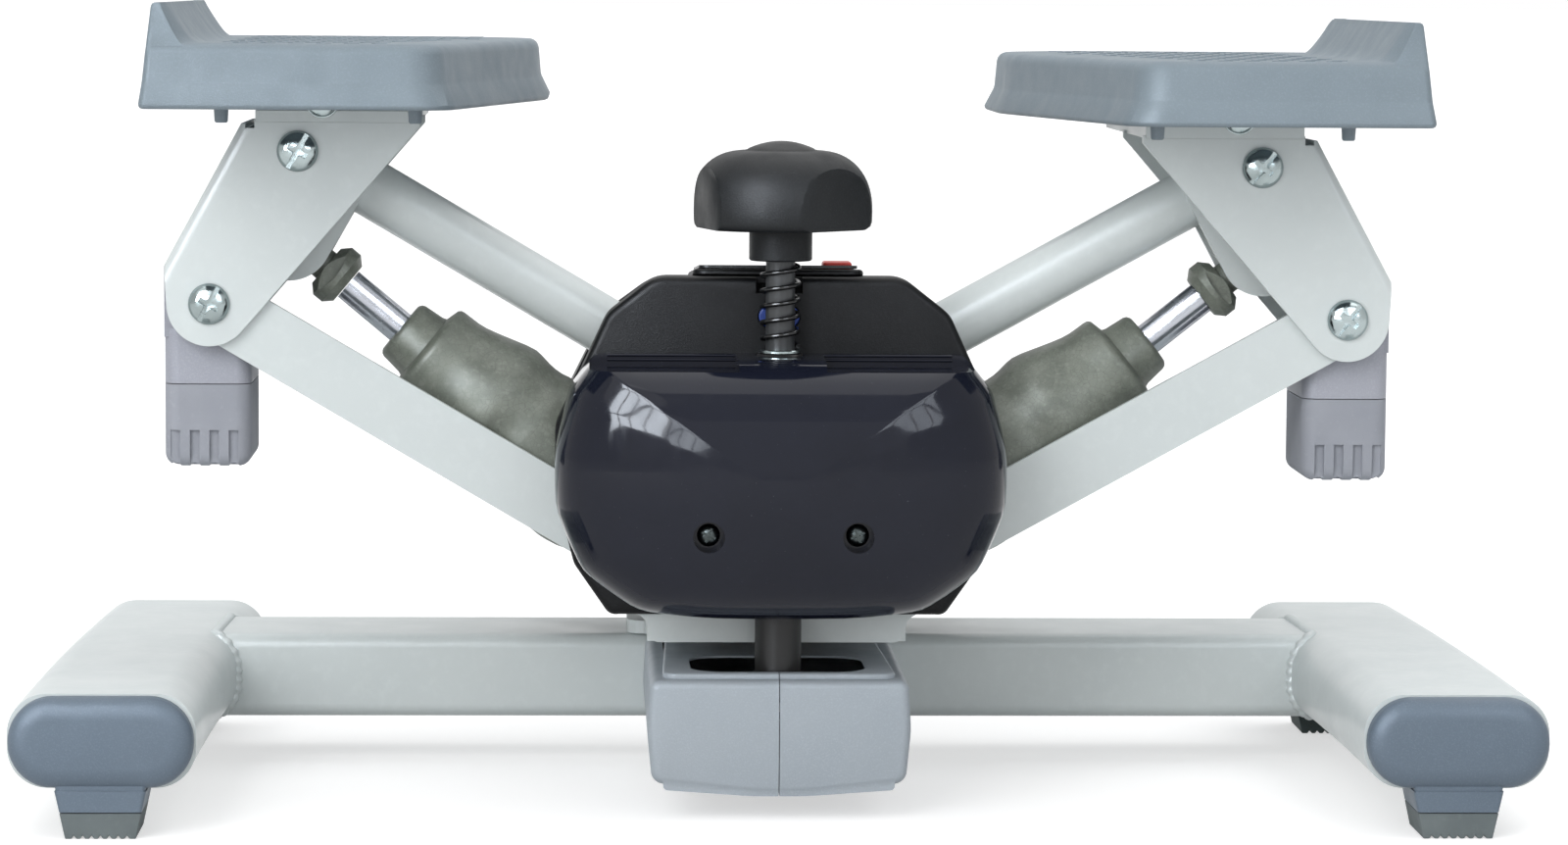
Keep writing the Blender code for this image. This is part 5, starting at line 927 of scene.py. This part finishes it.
def make_lower_bars(side):
    pivot = outer_pivot(side)
    along = (pivot - LOWER_PIVOT).normalized()
    half = SHEET / 2
    tail = LOWER_PIVOT - 16 * along
    circles = [(*LOWER_PIVOT, 10.9), (*pivot, 10.9), (*tail, 5)]
    ends = ((LOWER_PIVOT, AXLE_HOLE), (pivot, BOLT_HOLE))
    holes = [circle((SIDES[side] * place.x, place.y), radius) for place, radius in ends]
    front = slab("Y", FRONT_BAR_Y - half, FRONT_BAR_Y + half, hull(on_side(side, circles)), *holes)
    join(front, pin(side, tail, 3.8, 2.5, middle=-50.7))
    sunk = 2.8 * Vector((along.y, -along.x))
    circles = [(*(LOWER_PIVOT + sunk), 6.4), (*(pivot + sunk), 6.4)]
    rear = slab("Y", REAR_BAR_Y - half, REAR_BAR_Y + half, hull(on_side(side, circles)))
    join(rear, *[pin(side, place, half, 8.2, 56, middle=REAR_BAR_Y) for place, _ in ends])
    cut(rear, *[pin(side, place, 4, radius, middle=REAR_BAR_Y) for place, radius in ends])
    for place, bar in (("front", front), ("rear", rear)):
        node = f"{side}_lower_arm_{place}"
        publish(bar, f"{side}_{place}_bar", f"{side}_lower_arm", "white_paint", node, edge=0.5, segments=3)


def make_upper_arm(side):
    inner = LOWER_PIVOT + TO_UPPER
    outer = outer_pivot(side) + TO_UPPER
    eye = rod_eye(side)
    along = (outer - inner).normalized()
    arm = rod(out(side, *inner, MIDDLE_Y), out(side, *(outer - along * 6), MIDDLE_Y), 10, 72)
    lug = hull(on_side(side, [(*eye, 14.6), (*outer, 7), (*(outer - along * 20), 6)]))
    parts = [pin(side, inner, 23.5, 10.5, 56, 0.5), pin(side, outer, 23.5, 8.5, 56, 0.5)]
    for low, high in ((-11.5, -8), (8, 11.5)):
        parts.append(slab("Y", MIDDLE_Y + low, MIDDLE_Y + high, lug))
    parts.append(pin(side, eye, 9, 4))
    join(arm, *parts)
    cut(arm, pin(side, inner, 28, AXLE_HOLE), pin(side, outer, 28, BOLT_HOLE))
    publish(arm, f"{side}_arm_tube", f"{side}_upper", "white_paint", f"{side}_upper_arm", edge=0.35)


CAN_RADIUS = 24.5
CAN_SHAPE = (
    (0.385, 0), (0.41, 0.3), (0.44, 0.9), (0.46, 2.0), (0.49, 9.0), (0.51, 10.4), (0.70, 11.6),
    (0.735, 12.5), (0.745, 13.8), (0.755, 20), (0.775, 23), (0.82, 27), (0.89, 32.5), (0.955, 37.5),
    (0.985, 41), (0.982, 43.5), (0.960, 47.5), (0.955, 50), (0.965, 53), (0.992, 55.6), (1.0, 57.5),
    (1.0, 82.5), (0.985, 85.5), (0.95, 89.5), (0.90, 93), (0.80, 96.6), (0.68, 99), (0.50, 101),
    (0.33, 102.5), (0.275, 103.5),
)
CAN_NECK = [(6.74, 21), (6, 19.5), (6, 6), (0, 6)]
ROD_END = ((7.7, 0), (10.5, 2.9), (10.5, 6.8), (7.7, 9.6), (5.6, 9.6))


def make_damper(side):
    eye = rod_eye(side)
    low = out(side, *DAMPER_PIVOT, MIDDLE_Y)
    high = out(side, *eye, MIDDLE_Y)
    length = (high - low).length
    axis = (high - low).normalized()
    place = towards(low, high - low)
    face = length - 49
    profile = [(0, face)] + [(CAN_RADIUS * share, face - deep) for share, deep in CAN_SHAPE] + CAN_NECK
    can = lathe(profile, place, 80)
    join(can, pin(side, DAMPER_PIVOT, 6, 8.5, 48, 0.5))
    cut(can, pin(side, DAMPER_PIVOT, 20, BOLT_HOLE))
    cut(can, rod(low + axis * (face - 109.4), low + axis * (face + 5), 5.95, 48))
    node = f"{side}_damper_body"
    publish(can, f"{side}_damper_can", f"{side}_damper", "damper_paint", node, edge=0.3, angle=45)
    slider = f"{side}_damper_slider"
    shaft = rod(low + axis * (face - 54.6), high - axis * 25.6, 5.7, 56)
    publish(shaft, f"{side}_damper_shaft", slider, "chrome", f"{side}_damper_rod")
    collar = length - 25.4
    profile = [(0, collar)] + [(radius, collar + along) for radius, along in ROD_END]
    end = lathe(profile + [(5.4, length - 9.8), (0, length - 9.8)], place)
    join(end, pin(side, eye, 7, 10.8, 56, 0.6))
    cut(end, pin(side, eye, 21, 8.1, 48))
    for way in (-1, 1):
        cut(end, rod(high + Vector((0, way * 7.7, 0)), high + Vector((0, way * 14, 0)), 20.6, 48))
    publish(end, f"{side}_rod_end", slider, "damper_paint", f"{side}_damper_end", edge=0.35)


# Pedals

BEND = Vector((15.2, 13.2))
BRACKET_TOP = Vector((-11.6, 62.5))


def make_bracket(side):
    pivot = outer_pivot(side)

    def placed(shapes):
        return on_side(side, [(pivot.x + across, pivot.y + up, *radius) for across, up, *radius in shapes])

    along = (BRACKET_TOP - BEND).normalized()
    normal = Vector((along.y, -along.x))
    offset = BRACKET_TOP.dot(normal)
    corners = [(0, 0, 14.4), (*BEND, 0), (*BRACKET_TOP, 0), (-71, 62.5, 0), (-71, 60.0, 0)]
    bracket = slab("Y", FRONT_Y, BACK_Y, hull(placed(corners)))

    def on_web(co):
        point = Vector((SIDES[side] * co.x - pivot.x, co.z - pivot.y))
        return abs(point.dot(normal) - offset) < 0.6 and point.y > 13

    def is_fold(edge):
        first, last = [vertex.co for vertex in edge.verts]
        return abs(first.y - last.y) < 0.01 and edge.calc_length() > 10 and on_web(first) and on_web(last)

    bevel(bracket, 4.0, 6, is_fold)
    inside = normal * (offset - SHEET)
    low, high = inside - along * 60, inside + along * 115
    room = placed([low, high, high - normal * 130, low - normal * 130])
    tools = [
        slab("Y", FRONT_Y + SHEET, BACK_Y - SHEET, room),
        pivot_box(side, (-30, -30, FRONT_Y + SHEET), (30, BEND.y - 0.3, BACK_Y - SHEET)),
        pin(side, pivot, 50, BOLT_HOLE),
        pin(side, pivot + TO_UPPER, 50, BOLT_HOLE),
        pivot_box(side, (-15.5, 59.5, -60), (-12.4, 70, 20)),
        pivot_box(side, (-12.8, 61.0, -60), (12, 70, 20)),
    ]
    join(cut(bracket, *tools), pivot_box(side, (-70, 61.5, FRONT_Y), (-15.8, 65.5, 75)))
    unit = f"{side}_pedal_unit"
    node = f"{side}_pedal_bracket"
    publish(bracket, f"{side}_folded_bracket", unit, "white_paint", node, edge=0.45, segments=3)


SLOT_TURN = {"left": math.radians(60), "right": math.radians(52)}
HEAD_Y = FRONT_Y - 0.3
HEAD = [
    (0, 3.6), (1.6, 3.55), (3.0, 3.4), (4.4, 3.05), (5.5, 2.5), (6.4, 1.6), (6.9, 0.6), (7, 0.3), (6.9, 0),
]
PLATE_SCREW = (
    (0, 3.0), (2.6, 2.9), (4.4, 2.3), (5.2, 1.2), (5.3, 0.9), (5.7, 0.8), (5.7, 0),
    (2.4, 0), (2.4, -6), (0, -6),
)


def make_bolt(side, label, place):
    spot = towards(out(side, *place, HEAD_Y), (0, -1, 0))
    shoulder = 6.8 if label == "lower" else 4
    shank = [(4, 0), (4, -7), (shoulder, -7), (shoulder, -55.5), (4, -55.5), (4, -63.6)]
    nut = [(6.8, -63.6), (6.8, -69.1), (4, -69.1), (4, -71.1), (0, -71.1)]
    bolt = lathe(HEAD + shank + nut, spot, 56)
    bars = [
        box((-6.6, -0.8, 1.2), (6.6, 0.8, 6)),
        box((-0.95, -3.6, 0.6), (0.95, 3.6, 6)),
        box((-3.6, -0.95, 0.6), (3.6, 0.95, 6)),
        lathe([(0, 4.2), (1.9, 4.2), (1.3, 0.6), (0, 0.4)], Matrix.Identity(4), 24),
    ]
    for bar in bars:
        bar.data.transform(spot @ Matrix.Rotation(SLOT_TURN[side], 4, "Z"))
    unit = f"{side}_pedal_unit"
    publish(cut(bolt, *bars), f"{side}_{label}_screw", unit, "zinc", f"{side}_{label}_bolt", edge=0.2)


def make_plate_screw(side):
    spot = towards(at_pivot(side, -38.3, 68.7, HEAD_Y), (0, -1, 0))
    publish(lathe(PLATE_SCREW, spot, 48), f"{side}_plate_screw", f"{side}_pedal_unit", "zinc", edge=0.15)


PEDAL_REACH = 123
WALL_HEIGHT = 13.0
FIN_ACROSS = 15.25
TREAD_UP = 88.8


def pedal_ring(side, up, inset, outer=None):
    """The pedal's outline at a height; its outer side can lean less than the rest."""
    pivot = outer_pivot(side)
    deep = PEDAL_REACH - inset
    outside = 17.2 - (inset if outer is None else outer)
    corners = [
        (outside, -deep, 2.5), (outside, deep, 14), (-90 + inset, deep, 30), (-114 + inset, deep - 30, 30),
        (-114 + inset, 30, 90), (-83 + inset, -deep, 13),
    ]
    corners = on_side(side, [(pivot.x + across, y, radius) for across, y, radius in corners])
    return [(x, y, pivot.y + up) for x, y in rounded(corners, 12)]


def eased(share):
    """0 to 1, slow at both ends."""
    share = min(1.0, share)
    return share * share * (3 - 2 * share)


def wall_height(y):
    """How high the pedal's outer wall stands over the tread."""
    return WALL_HEIGHT if y < 44 else WALL_HEIGHT * (1 - eased((y - 44) / 66)) + 0.2


def outer_wall(side):
    """The pedal's outer wall, whose inner face sweeps down into the tread."""
    pivot = outer_pivot(side)
    rings = []
    stations = [0, 0.5, 1.1, 1.9, 2.9, 4.2, 6, 8, 10, 12] + [12 + 7.25 * step for step in range(1, 31)]
    for station in stations:
        y = -118.35 + station
        bend = 2.5 - math.sqrt(6.25 - max(0.0, 1.85 - station) ** 2)
        height = wall_height(y)
        part = eased(station / 12)
        foot = bend + 0.125 * height
        top = max(3.3 + 2.9 * part, foot + 2.0)
        width = (10.1 + 0.8 * part) * min(1.0, height / 13.2) ** 0.5
        end = -1.9 * (1 - min(1.0, station / 4.5)) - 0.25
        section = [(bend, -3.0), (foot, height - 1.3), (foot + 0.4, height - 0.4)]
        section += [(foot + 1.2, height), (top, height)]
        for step in range(1, 13):
            share = step / 12
            spread = 0.78 * share ** 1.1 + 0.22 * share ** 12
            section.append((top + width * spread, height + (end - height) * share))
        section.append((top + width, -3.0))
        tilt = 0.25 * max(0.0, 1 - station / 12)
        rings.append([
            (SIDES[side] * (pivot.x + FIN_ACROSS - inward), y + tilt * (3.0 + up), pivot.y + TREAD_UP + up)
            for inward, up in section
        ])
    return loft(rings)


def grip_bars(side):
    """Rows of low bars on the tread, each row half a step along from the last."""
    bars = []
    for row in range(13):
        y = -109 + row * 17
        reach = 83 + 31 * min(1.0, max(0.0, (y + PEDAL_REACH) / 153)) - 20
        for number in range(int((reach - 10) / 9)):
            across = -8 - 9 * (number if row % 2 else number + 0.5)
            bars.append(pivot_box(side, (across, 88.3, y - 0.7), (across - 5, 89.0, y + 0.7)))
    return bars


PEDAL_LEVELS = (
    (67.5, 1.1, 1.1), (67.8, 0.45, 0.45), (68.4, 0.1, 0.1), (69.1, 0.0, 0.0), (75.4, 3.0, 0.8),
    (76.6, 3.3, 0.95), (85.4, 4.0, 1.9), (86.6, 4.3, 2.05), (87.7, 5.0, 2.3), (88.4, 6.0, 2.7),
    (88.7, 6.9, 3.4), (TREAD_UP, 8.1, 4.4),
)
PEDAL_HOLLOW = ((62.5, 2.2), (67.5, 3.2), (85.6, 7.8))
PEDAL_BOSSES = (
    (-7.6, -95, 62.5, 2.2), (-71.2, -95, 62.5, 2.2), (0.7, 100, 65.0, 2.4), (-70.7, 100, 65.0, 2.4),
)


def make_pedal(side):
    pedal = loft([pedal_ring(side, *level) for level in PEDAL_LEVELS])
    join(pedal, outer_wall(side))
    cut(pedal, loft([pedal_ring(side, *level) for level in PEDAL_HOLLOW]))
    ceiling = 86.6
    bosses = [pivot_box(side, (-68, 65.8, -48), (-14.6, ceiling, 70))]
    for across, y, low, foot in PEDAL_BOSSES:
        spot = Matrix.Translation(at_pivot(side, across, low, y))
        high = ceiling - low
        bosses.append(lathe([(0, 0), (foot - 0.4, 0), (foot, 0.5), (foot + 1.4, high), (0, high)], spot, 28))
    join(pedal, *bosses)
    gather(pedal, grip_bars(side))
    unit = f"{side}_pedal_unit"
    publish(pedal, f"{side}_pedal_tray", unit, "pedal_plastic", f"{side}_pedal", edge=0.5, angle=45)


def make_bumper(side):
    low, high = sorted((at_pivot(side, -13.5, 0).x, at_pivot(side, 16.0, 0).x))
    pivot = outer_pivot(side)
    outline = box_outline(low, high, -43, 1, 5.4)
    top, seam, bottom = pivot.y - 9, pivot.y - 27.8, pivot.y - 56.3
    block = slab("Z", seam, top, outline)
    join(block, pivot_box(side, (11.9, -12, -41.5), (15.98, BEND.y - 0.9, -0.5)))
    unit = f"{side}_pedal_unit"
    publish(block, f"{side}_stop_block", unit, "bumper_plastic", f"{side}_bumper_block", edge=0.5)
    foot = slab("Z", bottom, seam - 0.3, outline)
    soften(foot, 4.6, lambda co: co.z < bottom + 0.01, 8)
    grooves = []
    for number in range(4):
        x = at_pivot(side, 12.3 - 6.6 * number, 0).x
        grooves.append(box((x - 1.65, -46, bottom - 6), (x + 1.65, -41.4, bottom + 12.6)))
        grooves.append(rod((x, -46, bottom - 0.5), (x, -34, bottom - 0.5), 1.9, 24))
    cut(foot, *grooves)
    publish(foot, f"{side}_stop_foot", unit, "bumper_rubber", f"{side}_bumper_foot", edge=0.35)


# Putting it together

make_cross_tube()
make_nose()
make_front_shell()
make_rear_shell()
make_plug()
make_console()
make_cover()
make_cover_screw(1, -1)
make_cover_screw(2, 1)
make_lock()
coil = publish(make_spring(), "coil_spring", "twist_unit", "spring_steel", "plunger_spring", angle=80)
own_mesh(coil)
make_knob()
for name_of_side in SIDES:
    make_leg(name_of_side)
    for name_of_end in ("front", "rear"):
        make_cap(name_of_side, name_of_end)
        make_pad(name_of_side, name_of_end)
    make_lower_bars(name_of_side)
    make_upper_arm(name_of_side)
    make_damper(name_of_side)
    make_bracket(name_of_side)
    make_bolt(name_of_side, "lower", outer_pivot(name_of_side))
    make_bolt(name_of_side, "upper", outer_pivot(name_of_side) + TO_UPPER)
    make_plate_screw(name_of_side)
    make_pedal(name_of_side)
    make_bumper(name_of_side)


# Floor, light and camera

TARGET = Vector((0, 0, 0.12))
FLOOR_HALF = 60
FLOOR_GLOW = 0.56
WORLD_LIGHT = 0.42
PANE_SHARE = 0.88
CAMERA_PLACE = (-0.0651, -1.6874, 0.2795)
CAMERA_TURNS = (5.205, 2.362, 0.402)
CAMERA_LENS = 110.77


def seen_rays(tree):
    """1 for rays from the eye, and for what metal and glass show of the room."""
    path = add_node(tree, "LightPath")
    total = path.outputs["Is Camera Ray"]
    for name in ("Is Glossy Ray", "Is Transmission Ray"):
        most = add_node(tree, "Math", operation="MAXIMUM")
        tree.links.new(total, most.inputs[0])
        tree.links.new(path.outputs[name], most.inputs[1])
        total = most.outputs[0]
    return total


def mix_shaders(tree, factor, first, second, output):
    """Send the first shader to an output, and the second where the factor is 1."""
    mix = add_node(tree, "MixShader")
    for source, socket in zip((factor, first.outputs[0], second.outputs[0]), mix.inputs):
        tree.links.new(source, socket)
    tree.links.new(mix.outputs["Shader"], output.inputs["Surface"])


def make_floor():
    work = bmesh.new()
    corners = box_outline(-FLOOR_HALF, FLOOR_HALF, -FLOOR_HALF, FLOOR_HALF, 0)
    work.faces.new([work.verts.new((*corner, 0)) for corner in corners])
    floor = from_bmesh(work)
    floor.name = "floor"
    finish = Finish("floor_paper", (214, 214, 214), 0.9)
    finish.tint(finish.noise(6, 3), (210, 210, 210), 0.3, 0.7, 1.0)
    finish.done(Specular_IOR_Level=0.1)
    tree = finish.tree
    lit = add_node(tree, "BsdfDiffuse", Color=(0.62, 0.62, 0.62, 1))
    glow = add_node(tree, "Emission", Strength=FLOOR_GLOW)
    both = add_node(tree, "AddShader")
    tree.links.new(lit.outputs["BSDF"], both.inputs[0])
    tree.links.new(glow.outputs["Emission"], both.inputs[1])
    mix_shaders(tree, seen_rays(tree), finish.shader, both, tree.nodes["Material Output"])
    floor.data.materials.append(finish.material)


def make_lamp(name, kind, power, place, facing):
    lamp = bpy.data.lights.new(name, kind)
    lamp.energy = power
    holder = bpy.data.objects.new(name, lamp)
    SCENE.collection.objects.link(holder)
    holder.location = place
    holder.rotation_euler = facing.to_euler()
    return lamp


def make_sun(name, direction, power, spread):
    sun = make_lamp(name, "SUN", power, (0, 0, 0), Vector(direction).to_track_quat("-Z", "Y"))
    sun.angle = math.radians(spread)


def make_window(name, place, width, height, power, count=3):
    """Rows of panes of soft light, a little apart, as a studio window."""
    facing = (TARGET - Vector(place)).to_track_quat("-Z", "Y")
    for column in range(count):
        for row in range(count):
            across = ((column + 0.5) / count - 0.5) * width
            up = ((row + 0.5) / count - 0.5) * height
            spot = Vector(place) + facing @ Vector((across, up, 0))
            pane = make_lamp(f"{name}_{column + 1}_{row + 1}", "AREA", power / count ** 2, spot, facing)
            pane.shape = "RECTANGLE"
            pane.size, pane.size_y = width * PANE_SHARE / count, height * PANE_SHARE / count


def make_card(name, place, width, height, columns, rows, strength):
    """Bright panes that only polished surfaces see, so they light nothing."""
    place = Vector(place)
    facing = (TARGET - place).to_track_quat("-Z", "Y").to_matrix().to_4x4()
    work = bmesh.new()
    for column in range(columns):
        for row in range(rows):
            left, low = (column / columns - 0.5) * width, (row / rows - 0.5) * height
            right, high = left + 0.86 * width / columns, low + PANE_SHARE * height / rows
            corners = ((left, low, 0), (right, low, 0), (right, high, 0), (left, high, 0))
            work.faces.new([work.verts.new(corner) for corner in corners])
    card = from_bmesh(work, Matrix.Translation(place) @ facing)
    card.name = name
    material = bpy.data.materials.new(name)
    material.use_nodes = True
    tree = material.node_tree
    tree.nodes.clear()
    glossy = add_node(tree, "LightPath").outputs["Is Glossy Ray"]
    clear = add_node(tree, "BsdfTransparent")
    glow = add_node(tree, "Emission", Color=(0.86, 0.92, 1.0, 1), Strength=strength)
    mix_shaders(tree, glossy, clear, glow, add_node(tree, "OutputMaterial"))
    card.data.materials.append(material)


def make_world():
    world = bpy.data.worlds.new("studio")
    SCENE.world = world
    world.use_nodes = True
    tree = world.node_tree
    tree.nodes.clear()
    light = add_node(tree, "Background", Color=(0.97, 0.985, 1.0, 1), Strength=WORLD_LIGHT)
    seen = add_node(tree, "Background", Color=(1, 1, 1, 1), Strength=1.0)
    mix_shaders(tree, seen_rays(tree), light, seen, add_node(tree, "OutputWorld"))


def make_camera():
    camera = bpy.data.objects.new("camera", bpy.data.cameras.new("camera"))
    SCENE.collection.objects.link(camera)
    pitch, yaw, roll = [math.radians(turn) for turn in CAMERA_TURNS]
    turned = Matrix.Rotation(-yaw, 4, "Z") @ Matrix.Rotation(math.pi / 2 - pitch, 4, "X")
    camera.matrix_world = Matrix.Translation(CAMERA_PLACE) @ turned @ Matrix.Rotation(roll, 4, "Z")
    camera.data.lens = CAMERA_LENS
    camera.data.sensor_width = 36
    SCENE.camera = camera


make_floor()
make_world()
make_window("left_window", (-1.15, -1.9, 1.10), 1.30, 1.60, 24)
make_window("right_window", (1.05, -2.1, 1.15), 1.10, 1.40, 7)
make_sun("key", (0.45, 0.55, -0.8), 0.5, 50)
make_sun("top", (-0.2, -0.15, -1.0), 1.5, 70)
make_sun("front", (0.1, 1.0, -0.06), 0.25, 60)
make_card("left_panes", (-1.10, -1.82, 1.06), 1.20, 1.50, 4, 3, 32)
make_card("small_panes", (-0.62, -3.0, 0.70), 0.50, 0.95, 3, 3, 14)
make_card("right_panes", (1.0, -2.0, 1.10), 1.10, 1.30, 4, 3, 8)
make_camera()
SCENE.view_settings.view_transform = "Standard"
